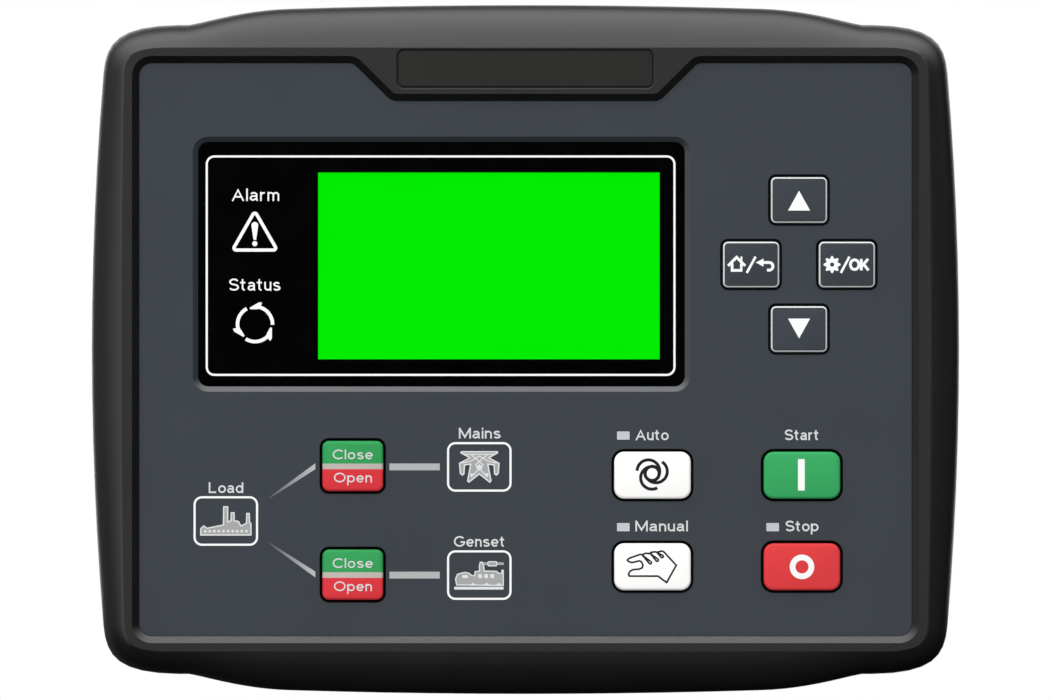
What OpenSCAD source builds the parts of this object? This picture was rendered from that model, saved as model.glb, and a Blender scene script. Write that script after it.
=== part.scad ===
// Generator set controller for panel mounting: bezel, fascia, keys, display, boards and rear housing.
// Drawn lying on its back (x right, y up, z towards the viewer, z = 0 on the panel's front face)
// and stood up at the end, so that the front faces -Y.

/* [Bezel] */
// Overall width across the bowed sides
bezel_w = 209; // [205:0.5:215]
// Overall height across the two bulges
bezel_h = 166; // [162:0.5:172]
// Front rim ahead of the panel face
bezel_depth = 13; // [12:0.1:15]
// Side bow from the middle to the corners
side_bow = 2.8; // [0:0.1:4]
// Step of a bulge past the shoulder
bulge_step = 3; // [1:0.1:4]
// Further crown of a bulge at its middle
bulge_crown = 1.8; // [0:0.1:2.5]
// Length of a bulge
bulge_w = 162; // [150:1:166]
// Length of the curve at each end of a bulge
bulge_run = 24; // [12:1:28]
// Size of the outer corners
corner_run = 11.7; // [8:0.1:14]
// Straight wall behind the curved front
rim_wall = 2; // [1:0.1:4]
// Angle at which the curved front meets the rim
crown_angle = 70; // [55:1:80]
// Outline to front rim at the sides
side_band = 7.2; // [6:0.1:7.5]
// Outline to front rim at the bulges
bulge_band = 10.5; // [9.5:0.1:11]
// Front rim width at the sides
rim_side = 2.8; // [2.2:0.1:3.5]
// Front rim width at top and bottom
rim_top = 2; // [1.6:0.1:2.6]
// Width of the chamfer from the rim to the fascia
chamfer_w = 1.7; // [1:0.1:2.2]
// Depth of the fascia behind the rim
chamfer_d = 1.7; // [1.2:0.1:2.2]

/* [Name plate tongue] */
// Width of the tongue where it leaves the rim
tongue_top_w = 82.8; // [80:0.1:92]
// Width of the tongue at its free edge
tongue_end_w = 64.4; // [63:0.1:72]
// Reach of the tongue
tongue_drop = 9.1; // [8.4:0.1:11]
// Name plate width
plate_w = 60.8; // [40:0.1:62]
// Name plate height
plate_h = 8.4; // [6:0.1:9.6]
// Name plate thickness
plate_t = 0.8; // [0.5:0.1:1]

/* [Fascia] */
// Fascia thickness
fascia_t = 3; // [2.8:0.1:3.4]
// Ledge behind the fascia's edge
ledge_w = 2.6; // [2.4:0.1:3.4]
// Display window width
window_w = 116.8; // [112:0.1:118]
// Display window height
window_h = 58.6; // [55:0.1:60]
// Display window centre, across
window_x = -20.2; // [-22:0.1:-18]
// Display window centre, up
window_y = 20.5; // [19:0.1:21]
// Depth of the window behind the fascia
window_sink = 0.8; // [0.4:0.1:1]
// Window thickness
window_t = 1.2; // [1:0.1:1.3]

/* [Display] */
// Lit screen width
screen_w = 82.1; // [76:0.1:83]
// Lit screen height
screen_h = 45.1; // [40:0.1:46]
// Screen centre, across
screen_x = -8.8; // [-10:0.1:-8]
// Screen centre, up
screen_y = 20.2; // [19:0.1:21]
// Border of the screen module outside the lit screen
module_border = 5.5; // [4.5:0.1:6]

/* [Keys] */
// How far the keys stand out
key_proud = 1; // [0.6:0.1:1.5]
// Key travel
key_travel = 1; // [0.6:0.1:1]
// Navigation key width
nav_w = 13.5; // [11:0.1:14.5]
// Navigation key height
nav_h = 11; // [9:0.1:12]
// Navigation keys, right of the middle of the field beside the window
nav_shift = 0.2; // [-1:0.1:0.5]
// Navigation keys, centre up
nav_y = 20.4; // [19:0.1:21.5]
// Navigation keys, offset across
nav_dx = 11.5; // [10:0.1:11.8]
// Navigation keys, offset up
nav_dy = 15.5; // [14:0.1:16]
// Mode key width
mode_w = 18.4; // [16:0.1:20]
// Mode key height
mode_h = 11.3; // [9:0.1:12]
// Left mode keys, centre across
mode_x = 30.5; // [29:0.1:31]
// Distance between the mode key columns
mode_dx = 35.9; // [34:0.1:36.5]
// Upper mode keys, centre above the fascia's lower edge
mode_up = 38.6; // [37.9:0.1:39.4]
// Distance between the mode key rows
mode_dy = 22; // [21:0.1:22.4]
// Breaker key width
breaker_w = 14.6; // [12:0.1:16]
// Breaker key height
breaker_h = 12.1; // [10:0.1:13]
// Breaker keys, centre across
breaker_x = -41.5; // [-43:0.1:-40]
// Mains breaker key, centre above the fascia's lower edge
breaker_up = 40.8; // [39.9:0.1:41.9]
// Distance between the breaker keys
breaker_dy = 26.1; // [24:0.1:26.4]

/* [Indicators] */
// Indicator width
light_w = 3.1; // [2.4:0.1:3.6]
// Indicator height
light_h = 2.05; // [1.6:0.05:2.4]
// Indicator beside a key's label, left of the key centre
light_dx = 7; // [6.4:0.1:7.6]
// Indicator above the key centre
light_dy = 9.5; // [9.2:0.1:10]
// Radius of the alarm and status light guides
guide_r = 4; // [3:0.1:4.4]
// Alarm and status guides, centre across
guide_x = -65; // [-66:0.1:-64]
// Alarm guide, centre up
alarm_y = 28; // [26:0.1:30]
// Status guide, centre up
status_y = 6.1; // [5:0.1:8]

/* [Rear housing] */
// Reach of the bezel past the panel cut-out at the sides
reach_side = 11.5; // [11:0.05:12]
// Reach of the bezel past the panel cut-out at top and bottom
reach_top = 12.5; // [12:0.05:12.8]
// Depth behind the panel face
rear_depth = 32; // [31:0.5:40]
// Depth of the terminal shelves behind the panel face
shelf_depth = 19; // [18.5:0.1:20]
// Housing wall thickness
wall = 2; // [1.6:0.1:2.4]
// Step of the housing beside its raised middle
hump_side = 4.25; // [2.25:0.05:12.25]
// Height of a terminal shelf above and below the raised middle
shelf_h = 26.75; // [24.75:0.05:29.75]
// Number of ventilation slots in a row
vent_n = 9; // [4:1:11]
// Ventilation slot width
vent_w = 2.4; // [1.6:0.1:3]

/* [Terminals] */
// Terminal rows inside the housing's edge
row_inset = 13.25; // [12.75:0.05:14.25]
// Terminal pitch
pitch = 5.08; // [5:0.01:5.08]
// Supply terminals in the lower row
supply_ways = 12; // [4:1:12]
// Sensor terminals in the lower row
sensor_ways = 11; // [4:1:12]
// Voltage terminals in the upper row
voltage_ways = 10; // [4:1:11]
// Current terminals in the upper row
current_ways = 6; // [3:1:6]

/* [Fixing] */
// Fixing clips above and below the middle
clip_y = 33; // [28:0.5:34]
// Clip width
clip_w = 12; // [10:0.5:14]
// Clamping screw diameter
clamp_d = 4; // [3:0.5:4]
// Gasket thickness
gasket_t = 2.5; // [2:0.1:3]
// How far the gasket stands out of its groove
gasket_proud = 1; // [0.5:0.1:1.2]
// Gasket width
gasket_w = 3.6; // [2.6:0.1:4]

/* [Hidden] */
$fn = 48;
// Overshoot of cutters
cut = 1;
// Gap of pieces fixed in one another
fit_gap = 0.1;
// Gap around keys
key_gap = 0.5;
// Gap at the resting face of a key
rest_gap = 0.05;
// Gap around screws
screw_gap = 0.1;
// Gap of the moving clamping screw
thread_gap = 0.3;
// Segments of a small rounded corner
arc_n = 6;
// Outline stations of the bezel's side, corner, bulge end and bulge crown in one quarter
side_n = 6;
corner_n = 8;
swell_n = 9;
top_n = 5;
crown_n = 7;

// Depth levels, front to back
rim_z = bezel_depth;
fascia_z = rim_z - chamfer_d;
fascia_back = fascia_z - fascia_t;
window_z = fascia_z - window_sink;
window_back = window_z - window_t;
boss_h = 4;
board_t = 1.6;
board_z = fascia_back - boss_h;
board_back = board_z - board_t;
spacer_l = 12.3;
spacer_r = 3;
io_z = board_back - spacer_l;
io_back = io_z - board_t;
bezel_back = gasket_proud;
shelf_z = -shelf_depth;
rear_z = -rear_depth;

// Bezel outlines
shoulder_h = bezel_h - 2 * (bulge_step + bulge_crown);
rim_w = bezel_w - 2 * side_band;
rim_h = bezel_h - 2 * bulge_band;
rim_r = 6.5;
// Corner length along the top against its length along the side
corner_stretch = 1.55;
// Quickness of the curve at a bulge's end: below 1 it starts fast and fades slowly
swell_ease = 0.65;
top_reach = bezel_w / 2 - side_bow - corner_stretch * corner_run;
swell_end = bulge_w / 2 - bulge_run;
top_places = concat(
    [top_reach],
    [for (i = [0:swell_n]) let (x = bulge_w / 2 - bulge_run * i / swell_n) if (x < top_reach - 0.5) x],
    [for (i = [1:top_n]) swell_end * (1 - i / top_n)]
);
fascia_w = rim_w - 2 * (rim_side + chamfer_w);
fascia_h = rim_h - 2 * (rim_top + chamfer_w);
fascia_r = 3;
tongue_y = fascia_h / 2 - tongue_drop;
tongue_corner = 2.4;
tongue_foot = 3.4;
plate_r = 1.2;
plate_margin = 0.45;
plate_gap = 0.45;
plate_sink = plate_t + 0.2;
plate_y = rim_h / 2 - plate_margin - plate_gap - plate_h / 2;

// Cavity behind the fascia, with corner posts for the case screws
cavity_x = fascia_w / 2 - ledge_w;
cavity_y = fascia_h / 2 - ledge_w;
post = 8;
post_x = cavity_x - post / 2;
post_y = cavity_y - post / 2;

// Display board and its bosses
board_gap = 0.8;
board_x = cavity_x - board_gap;
board_low = -(cavity_y - board_gap);
board_top = tongue_y - ledge_w - board_gap;
boss_r = 2.6;
boss_x = cavity_x - post - board_gap - 3;
boss_low = board_low + 3.2;
boss_top = board_top - 3.2;
bosses = [[-boss_x, boss_low], [boss_x, boss_low], [-boss_x, boss_top], [boss_x, boss_top]];
stud_r = 1.5;

// Processor and link between the boards
chip_w = 14;
chip_t = 1.4;
chip_at = [24, 12];
chip_dot_r = 0.8;
chip_dot_d = 0.2;
chip_dot_at = 5;
link_n = 10;
link_pitch = 5.08;
link_base = 2.5;
link_pin = 0.64;
link_reach = 5;
link_root = 0.5;
link_x = -30;
link_up = 21.5;
link_at = [link_x, board_low + link_up];
link_w = link_n * link_pitch;
link_d = 5;
socket_wall = 1;
socket_slot = 1.6;
socket_depth = 6;

// Screen module
module_w = screen_w + 2 * module_border;
module_h = screen_h + 2 * module_border;
module_z = fascia_back - fit_gap;
frame_t = 0.4;
screen_clear = 0.6;
glass_t = 1.6;
light_t = module_z - frame_t - glass_t - board_z;

// Keys and keypad mat
key_z = fascia_z + key_proud;
flange = 0.9;
flange_t = 0.7;
flange_z = fascia_back - rest_gap;
key_back = flange_z - flange_t - 0.5;
key_round = 0.7;
core_inset = 2.4;
nav_r = 1.2;
mode_r = 2.4;
breaker_r = 1.6;
nav_x = (window_x + window_w / 2 + fascia_w / 2) / 2 + nav_shift;
mode_y = mode_up - fascia_h / 2;
breaker_y = breaker_up - fascia_h / 2;
start_x = mode_x + mode_dx;
low_mode_y = mode_y - mode_dy;
low_breaker_y = breaker_y - breaker_dy;
key_places = [
    [nav_x, nav_y + nav_dy],
    [nav_x, nav_y - nav_dy],
    [nav_x - nav_dx, nav_y],
    [nav_x + nav_dx, nav_y],
    [mode_x, mode_y],
    [mode_x, low_mode_y],
    [start_x, mode_y],
    [start_x, low_mode_y],
    [breaker_x, breaker_y],
    [breaker_x, low_breaker_y]
];
mat_t = 1;
mat_margin = 7;
mat_led_gap = 1;
dome_h = key_back - rest_gap - board_z;
dome_foot = 4.4;
dome_top = 3.2;
dome_wall = 0.7;
pill_r = 1.5;
pill_z = key_travel + 0.1;

// Indicators
collar = 0.6;
collar_t = 0.8;
led_w = 2;
led_h = 1.2;
led_t = 1;
guide_back = board_z + led_t + 0.2;
light_places = [
    [mode_x - light_dx, mode_y + light_dy],
    [mode_x - light_dx, low_mode_y + light_dy],
    [start_x - light_dx, low_mode_y + light_dy]
];
guide_places = [[guide_x, alarm_y], [guide_x, status_y]];

// Rear housing
cutout_w = bezel_w - 2 * reach_side;
cutout_h = bezel_h - 2 * reach_top;
cutout_gap = 0.75;
house_w = cutout_w - 2 * cutout_gap;
house_h = cutout_h - 2 * cutout_gap;
house_r = 3;
hump_w = house_w - 2 * hump_side;
hump_h = house_h - 2 * shelf_h;
hump_r = 4;
column_r = 3.8;
case_r = 1.5;
case_head_r = 2.8;
case_head_t = 2.2;
case_depth = 6;
rib_t = 1.2;
rib_l = 46;
rib_h = 1.2;
rib_z = -4;
vent_l = 30;
vent_pitch = 2.4 * vent_w;

// Input and output board
io_gap = 2;
io_x = house_w / 2 - wall - 2 * column_r - io_gap;
io_y = house_h / 2 - wall - io_gap;
io_screw_l = 5;
io_head_r = 2.7;
io_head_t = 2;

// Terminals
header_wall = 0.9;
header_d = 8.8;
header_proud = 1.7;
header_floor = 2;
header_z = shelf_z - header_proud;
row_y = house_h / 2 - row_inset;
plug_d = 11.6;
plug_edge = 1.2;
plug_end = 0.75;
plug_z = rear_z + 0.4;
pin_w = 1;
well_r = 1.9;
well_depth = 5;
screw_r = 1.7;
screw_sink = 1.8;
screw_t = 2.6;
entry_w = 3.4;
entry_h = 3.4;
entry_up = 6.2;
entry_z = plug_z + entry_up;
drive_w = 0.7;
drive_d = 0.9;
pin_end = 1.4;
pin_hole_end = 1;
clamp_in = 2.4;
row_gap = 5;
port_w = 16;
port_d = 13.4;
port_h = 13;
port_mouth_w = 11.8;
port_mouth_h = 8;
port_mouth_depth = 10;
voltage_w = block_w(voltage_ways);
current_w = block_w(current_ways);
supply_w = block_w(supply_ways);
sensor_w = block_w(sensor_ways);
lower_w = supply_w + row_gap + sensor_w;
upper_w = voltage_w + current_w + port_w + 2 * row_gap;
supply_x = -lower_w / 2 + supply_w / 2;
sensor_x = lower_w / 2 - sensor_w / 2;
voltage_x = -upper_w / 2 + voltage_w / 2;
current_x = voltage_x + voltage_w / 2 + row_gap + current_w / 2;
port_x = upper_w / 2 - port_w / 2;

// Fixing clips
clip_t = 2.2;
clip_gap = 0.15;
clip_face = house_w / 2 + clip_gap;
clip_front = -6;
ear_front = -13;
ear_back = -18;
ear_reach = 11;
clamp_out = 6.4;
clamp_x = clip_face + clamp_out;
clamp_r = clamp_d / 2;
clamp_tip = -3;
clamp_l = 23;
clamp_head_r = 0.9 * clamp_d;
clamp_head_t = 2.6;
slot_cut = 10;
slot_w = 7;
slot_h = 2.8;
slot_z = -9;
tab_gap = 0.25;
hook_in = 2.2;
hook_lip = 1.4;

// Gasket groove
groove_x = cutout_w / 2 + 1.2;
groove_y = cutout_h / 2 + 1.2;
groove_r = 5;

// Core pockets behind the bulges
pocket_n = 6;
pocket_rib = 2.4;
pocket_from = groove_y + gasket_w + 1.5;
pocket_to = bezel_h / 2 - 3.6;
pocket_depth = 5.5;
pocket_span = bulge_w - 2 * bulge_run;
pocket_l = (pocket_span - (pocket_n - 1) * pocket_rib) / pocket_n;

// Relays and supply parts
relay_w = 19;
relay_d = 15.5;
relay_h = 15.7;
relay_y = -24;
relay_pitch = 24;
cap_r = 6.4;
cap_h = 15;
cap_x = 50;
cap_places = [-22, 2];
coil_r = 7;
coil_t = 2.6;
coil_at = [24, 16];

// Colours
black = [0.09, 0.09, 0.1];
dark = [0.17, 0.17, 0.17];
slate = [0.25, 0.27, 0.29];
white = [0.97, 0.97, 0.96];
green = [0.22, 0.62, 0.35];
red = [0.83, 0.25, 0.25];
lime = [0.02, 0.9, 0.05];
clear = [0.78, 0.79, 0.8];
board_green = [0.05, 0.3, 0.16];
steel = [0.7, 0.71, 0.72];
brass = [0.8, 0.66, 0.32];
block_green = [0.13, 0.45, 0.25];
blue = [0.12, 0.25, 0.55];

// Outline helpers
function unit(v) = v / norm(v);
function left_of(v) = [-v[1], v[0]];
function turned(v, a) = [v[0] * cos(a) - v[1] * sin(a), v[0] * sin(a) + v[1] * cos(a)];
function xy(c) = [c[0], c[1]];
function at_height(points, z) = [for (p = points) [p[0], p[1], z]];
function smooth_step(t) = let (u = max(0, min(1, t))) u * u * (3 - 2 * u);
function mix(a, b, t) = a + (b - a) * t;

// Arc that replaces corner q between p and s
function corner_arc(p, q, s, r) =
    let (
        a = unit(q - p),
        b = unit(s - q),
        sine = a[0] * b[1] - a[1] * b[0],
        angle = atan2(sine, a * b),
        start = q - a * r * tan(abs(angle) / 2),
        centre = start + sign(sine) * r * left_of(a)
    )
    [for (i = [0:arc_n]) centre + turned(start - centre, angle * i / arc_n)];

// Closed outline through corners given as [x, y, radius], counter-clockwise
function rounded(corners) =
    let (n = len(corners))
    [for (i = [0:n - 1]) each corner_arc(
        xy(corners[(i + n - 1) % n]), xy(corners[i]), xy(corners[(i + 1) % n]), corners[i][2])];

// The same corners moved inwards by d
function inset(corners, d) =
    let (n = len(corners))
    [for (i = [0:n - 1])
        let (
            q = xy(corners[i]),
            a = unit(q - xy(corners[(i + n - 1) % n])),
            b = unit(xy(corners[(i + 1) % n]) - q),
            move = (left_of(a) + left_of(b)) * d / (1 + a * b),
            turn = sign(a[0] * b[1] - a[1] * b[0])
        )
        [q[0] + move[0], q[1] + move[1], max(0.2, corners[i][2] - turn * d)]];

function box_corners(w, h, r, c = [0, 0]) = [
    [c[0] - w / 2, c[1] - h / 2, r],
    [c[0] + w / 2, c[1] - h / 2, r],
    [c[0] + w / 2, c[1] + h / 2, r],
    [c[0] - w / 2, c[1] + h / 2, r]
];

// Fascia corners: a rectangle with a notch for the tongue
fascia_corners = [
    [-fascia_w / 2, -fascia_h / 2, fascia_r],
    [fascia_w / 2, -fascia_h / 2, fascia_r],
    [fascia_w / 2, fascia_h / 2, fascia_r],
    [tongue_top_w / 2, fascia_h / 2, tongue_corner],
    [tongue_end_w / 2, tongue_y, tongue_foot],
    [-tongue_end_w / 2, tongue_y, tongue_foot],
    [-tongue_top_w / 2, fascia_h / 2, tongue_corner],
    [-fascia_w / 2, fascia_h / 2, fascia_r]
];

// Bezel outline at share t of the way from the panel to the front rim
function bulge(x) =
    let (
        u = min(1, abs(x) / (bulge_w / 2)),
        inward = max(0, bulge_w / 2 - abs(x)) / bulge_run
    )
    bulge_step * smooth_step(pow(inward, swell_ease)) + bulge_crown * (1 - u * u);
function bezier(a, b, c, d, t) =
    a * pow(1 - t, 3) + b * 3 * t * pow(1 - t, 2) + c * 3 * t * t * (1 - t) + d * pow(t, 3);
function bezel_quarter(t) =
    let (
        half_w = mix(bezel_w, rim_w, t) / 2,
        half_h = mix(shoulder_h, rim_h, t) / 2,
        bow = side_bow * (1 - 0.8 * t),
        run = mix(corner_run, rim_r, t),
        low = half_h - run,
        edge = half_w - bow,
        lean = 2 * bow / low,
        reach = edge - corner_stretch * run,
        a = [edge, low],
        b = a + [-lean, 1] * 0.66 * run,
        c = [edge - 0.32 * run, half_h - 0.018 * run],
        d = [reach, half_h]
    )
    concat(
        [for (i = [0:side_n - 1]) let (y = low * i / side_n) [half_w - bow * pow(y / low, 2), y]],
        [for (i = [0:corner_n - 1]) bezier(a, b, c, d, i / corner_n)],
        [for (x = top_places) [reach * x / top_reach, half_h + (1 - t) * bulge(x)]]
    );
function bezel_outline(t) =
    let (q = bezel_quarter(t), m = len(q) - 1)
    concat(
        q,
        [for (i = [m - 1:-1:1]) [-q[i][0], q[i][1]]],
        [for (i = [0:m]) -q[i]],
        [for (i = [m - 1:-1:1]) [q[i][0], -q[i][1]]]
    );

// Skin through rings of equally many points, lowest ring first
module loft(rings) {
    n = len(rings[0]);
    last = (len(rings) - 1) * n;
    sides = [for (k = [0:len(rings) - 2], i = [0:n - 1])
        let (a = k * n + i, b = k * n + (i + 1) % n)
        each [[a, a + n, b + n], [a, b + n, b]]];
    floor_face = [[for (i = [0:n - 1]) i]];
    roof_face = [[for (i = [n - 1:-1:0]) last + i]];
    polyhedron([for (r = rings) each r], concat(floor_face, sides, roof_face));
}

module plate(points, z0, z1) {
    translate([0, 0, z0])
        linear_extrude(z1 - z0)
            polygon(points);
}

module box(w, h, z0, z1, c = [0, 0]) {
    translate([c[0] - w / 2, c[1] - h / 2, z0])
        cube([w, h, z1 - z0]);
}

module rod(r, z0, z1, c = [0, 0]) {
    translate([c[0], c[1], z0])
        cylinder(r = r, h = z1 - z0);
}

module upright() {
    rotate([90, 0, 0])
        children();
}

module mirrored(on, axis) {
    if (on) mirror(axis) children();
    else children();
}

// Bezel
module bezel_body() {
    wall_z = bezel_back + rim_wall;
    crown = [for (k = [1:crown_n])
        let (a = crown_angle * k / crown_n)
        at_height(
            bezel_outline((1 - cos(a)) / (1 - cos(crown_angle))),
            wall_z + (rim_z - wall_z) * sin(a) / sin(crown_angle))];
    back = [at_height(bezel_outline(0), bezel_back), at_height(bezel_outline(0), wall_z)];
    loft(concat(back, crown));
}

module fascia_pocket() {
    seat = rounded(inset(fascia_corners, -fit_gap));
    mouth = rounded(inset(fascia_corners, -chamfer_w));
    loft([
        at_height(seat, fascia_back),
        at_height(seat, fascia_z),
        at_height(mouth, rim_z),
        at_height(mouth, rim_z + cut)
    ]);
}

module cavity() {
    difference() {
        plate(rounded(inset(fascia_corners, ledge_w)), bezel_back - cut, fascia_back + cut);
        for (x = [-1, 1], y = [-1, 1])
            box(post + cut, post + cut, bezel_back - 2 * cut, fascia_back,
                [x * (post_x + cut / 2), y * (post_y + cut / 2)]);
    }
}

module gasket_ring(grow, z0, z1) {
    inner = box_corners(2 * groove_x, 2 * groove_y, groove_r);
    difference() {
        plate(rounded(inset(inner, -gasket_w - grow)), z0, z1);
        plate(rounded(inset(inner, grow)), z0 - cut, z1 + cut);
    }
}

module bulge_pockets() {
    for (side = [-1, 1], i = [0:pocket_n - 1])
        box(pocket_l, pocket_to - pocket_from, bezel_back - cut, bezel_back + pocket_depth, [
            -pocket_span / 2 + pocket_l / 2 + i * (pocket_l + pocket_rib),
            side * (pocket_to + pocket_from) / 2
        ]);
}

module front_bezel() {
    color(black)
        upright()
            difference() {
                bezel_body();
                fascia_pocket();
                cavity();
                gasket_ring(fit_gap, bezel_back - cut, gasket_t);
                plate(rounded(inset(box_corners(plate_w, plate_h, plate_r, [0, plate_y]), -plate_gap)),
                    rim_z - plate_sink, rim_z + cut);
                bulge_pockets();
                for (x = [-1, 1], y = [-1, 1])
                    rod(case_r + screw_gap, bezel_back - cut, bezel_back + case_depth,
                        [x * post_x, y * post_y]);
            }
}

module name_plate() {
    color(dark)
        upright()
            plate(rounded(box_corners(plate_w, plate_h, plate_r, [0, plate_y])),
                rim_z - plate_sink, rim_z - plate_sink + plate_t);
}

// Fascia
function window_corners(grow) =
    inset(box_corners(window_w, window_h, 2.4, [window_x, window_y]), -grow);

module key_hole(c, w, h, r) {
    plate(rounded(box_corners(w + 2 * key_gap, h + 2 * key_gap, r + key_gap, c)),
        fascia_back - cut, fascia_z + cut);
}

module window_pocket() {
    seat = rounded(window_corners(fit_gap));
    mouth = rounded(window_corners(1.35));
    loft([
        at_height(seat, window_back),
        at_height(seat, window_z),
        at_height(mouth, fascia_z),
        at_height(mouth, fascia_z + cut)
    ]);
}

module fascia() {
    color(slate)
        upright()
            difference() {
                union() {
                    plate(rounded(fascia_corners), fascia_back, fascia_z);
                    for (b = bosses)
                        rod(boss_r, board_z, fascia_back + cut, b);
                }
                window_pocket();
                box(screen_w + 2 * screen_clear, screen_h + 2 * screen_clear,
                    fascia_back - cut, window_z, [screen_x, screen_y]);
                for (i = [0:3])
                    key_hole(key_places[i], nav_w, nav_h, nav_r);
                for (i = [4:7])
                    key_hole(key_places[i], mode_w, mode_h, mode_r);
                for (i = [8:9])
                    key_hole(key_places[i], breaker_w, breaker_h, breaker_r);
                for (p = light_places)
                    box(light_w + 2 * fit_gap, light_h + 2 * fit_gap, fascia_back - cut, fascia_z + cut, p);
                for (p = guide_places)
                    rod(guide_r + fit_gap, fascia_back - cut, window_z, p);
                for (b = bosses)
                    rod(stud_r + screw_gap, board_z - cut, fascia_back + 0.5, b);
            }
}

module display_window() {
    color(black)
        upright()
            plate(rounded(window_corners(0)), window_back, window_z);
}

// Screen
module lcd_frame() {
    color(steel)
        upright()
            difference() {
                box(module_w, module_h, board_z, module_z, [screen_x, screen_y]);
                box(module_w - 2 * frame_t, module_h - 2 * frame_t,
                    board_z - cut, module_z - frame_t, [screen_x, screen_y]);
                box(screen_w + 2 * screen_clear, screen_h + 2 * screen_clear,
                    module_z - cut, module_z + cut, [screen_x, screen_y]);
            }
}

module lcd_glass() {
    color(lime)
        upright()
            box(module_w - 2 * frame_t - 2 * fit_gap, module_h - 2 * frame_t - 2 * fit_gap,
                module_z - frame_t - glass_t, module_z - frame_t, [screen_x, screen_y]);
}

module lcd_backlight() {
    color(white)
        upright()
            box(module_w - 2 * frame_t - 2 * fit_gap, module_h - 2 * frame_t - 2 * fit_gap,
                board_z, board_z + light_t, [screen_x, screen_y]);
}

// Keys: a cap with a rounded front edge, a flange behind the fascia and a core on the dome
module key_cap(c, w, h, r) {
    corners = box_corners(w, h, r, c);
    rounding = [for (a = [0, 30, 60, 90])
        at_height(rounded(inset(corners, key_round * (1 - cos(a)))), key_z - key_round * (1 - sin(a)))];
    upright()
        union() {
            loft(concat([at_height(rounded(corners), flange_z - flange_t)], rounding));
            plate(rounded(inset(corners, -flange)), flange_z - flange_t, flange_z);
            plate(rounded(inset(corners, core_inset)), key_back, flange_z);
        }
}

module nav_key(i) { key_cap(key_places[i], nav_w, nav_h, nav_r); }
module mode_key(i) { key_cap(key_places[i], mode_w, mode_h, mode_r); }
module breaker_key(i) { key_cap(key_places[i], breaker_w, breaker_h, breaker_r); }

module key_up() { color(slate) nav_key(0); }
module key_down() { color(slate) nav_key(1); }
module key_home() { color(slate) nav_key(2); }
module key_ok() { color(slate) nav_key(3); }
module key_auto() { color(white) mode_key(4); }
module key_manual() { color(white) mode_key(5); }
module key_start() { color(green) mode_key(6); }
module key_stop() { color(red) mode_key(7); }
module key_mains_breaker() { color(green) breaker_key(8); }
module key_genset_breaker() { color(green) breaker_key(9); }

// Keypad mat: one sheet with a hollow dome and a contact pill under each key
module dome() {
    roof = dome_h - dome_wall;
    rotate_extrude()
        polygon([
            [0, pill_z],
            [pill_r, pill_z],
            [pill_r, roof],
            [dome_top - dome_wall, roof],
            [dome_foot - dome_wall, 0],
            [dome_foot + 0.3, 0],
            [dome_foot + 0.3, mat_t],
            [dome_foot, mat_t],
            [dome_top, dome_h],
            [0, dome_h]
        ]);
}

module keypad_mat() {
    left = breaker_x - mat_margin;
    right = start_x + mat_margin;
    low = low_breaker_y - mat_margin;
    high = mode_y + mat_margin;
    nav_left = nav_x - nav_dx - mat_margin;
    nav_right = nav_x + nav_dx + mat_margin;
    nav_high = nav_y + nav_dy + mat_margin;
    color(dark)
        upright()
            union() {
                difference() {
                    plate([
                        [left, low], [right, low], [right, high], [nav_right, high],
                        [nav_right, nav_high], [nav_left, nav_high], [nav_left, high], [left, high]
                    ], board_z, board_z + mat_t);
                    for (p = key_places)
                        rod(dome_foot, board_z - cut, board_z + mat_t + cut, p);
                    for (p = light_places)
                        box(led_w + 2 * mat_led_gap, led_h + 2 * mat_led_gap,
                            board_z - cut, board_z + mat_t + cut, p);
                    for (b = bosses)
                        rod(boss_r + fit_gap, board_z - cut, board_z + mat_t + cut, b);
                }
                for (p = key_places)
                    translate([p[0], p[1], board_z])
                        dome();
            }
}

// Indicator lights
module indicator(i) {
    p = light_places[i];
    color(clear)
        upright()
            union() {
                box(light_w, light_h, guide_back, fascia_z, p);
                box(light_w + 2 * collar, light_h + 2 * collar, fascia_back - collar_t, fascia_back, p);
            }
}

module guide(i) {
    p = guide_places[i];
    color(clear)
        upright()
            union() {
                rod(guide_r, guide_back, window_back, p);
                rod(guide_r + collar, fascia_back - collar_t, fascia_back, p);
            }
}

module indicator_auto() { indicator(0); }
module indicator_manual() { indicator(1); }
module indicator_stop() { indicator(2); }
module guide_alarm() { guide(0); }
module guide_status() { guide(1); }

module indicator_leds() {
    color(white)
        upright()
            for (p = concat(light_places, guide_places))
                box(led_w, led_h, board_z, board_z + led_t, p);
}

// Display board
module display_board() {
    notch_x = cavity_x - post - board_gap;
    notch_y = -(cavity_y - post - board_gap);
    color(board_green)
        upright()
            difference() {
                plate([
                    [-notch_x, board_low], [notch_x, board_low], [notch_x, notch_y], [board_x, notch_y],
                    [board_x, board_top], [-board_x, board_top], [-board_x, notch_y], [-notch_x, notch_y]
                ], board_back, board_z);
                for (b = bosses)
                    rod(stud_r + screw_gap, board_back - cut, board_z + cut, b);
            }
}

module processor() {
    color(black)
        upright()
            difference() {
                box(chip_w, chip_w, board_back - chip_t, board_back, chip_at);
                rod(chip_dot_r, board_back - chip_t - cut, board_back - chip_t + chip_dot_d,
                    chip_at + chip_dot_at * [-1, 1]);
            }
}

module board_header() {
    color(brass)
        upright()
            union() {
                box(link_w, link_d, board_back - link_base, board_back, link_at);
                for (i = [0:link_n - 1])
                    box(link_pin, link_pin,
                        board_back - link_base - link_reach, board_back - link_base + link_root,
                        [link_at[0] + (i - (link_n - 1) / 2) * link_pitch, link_at[1]]);
            }
}

module board_socket() {
    color(black)
        upright()
            difference() {
                box(link_w, link_d, io_z, board_back - link_base - fit_gap, link_at);
                box(link_w - 2 * socket_wall, socket_slot,
                    board_back - link_base - socket_depth, board_back - link_base + cut, link_at);
            }
}

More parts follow.
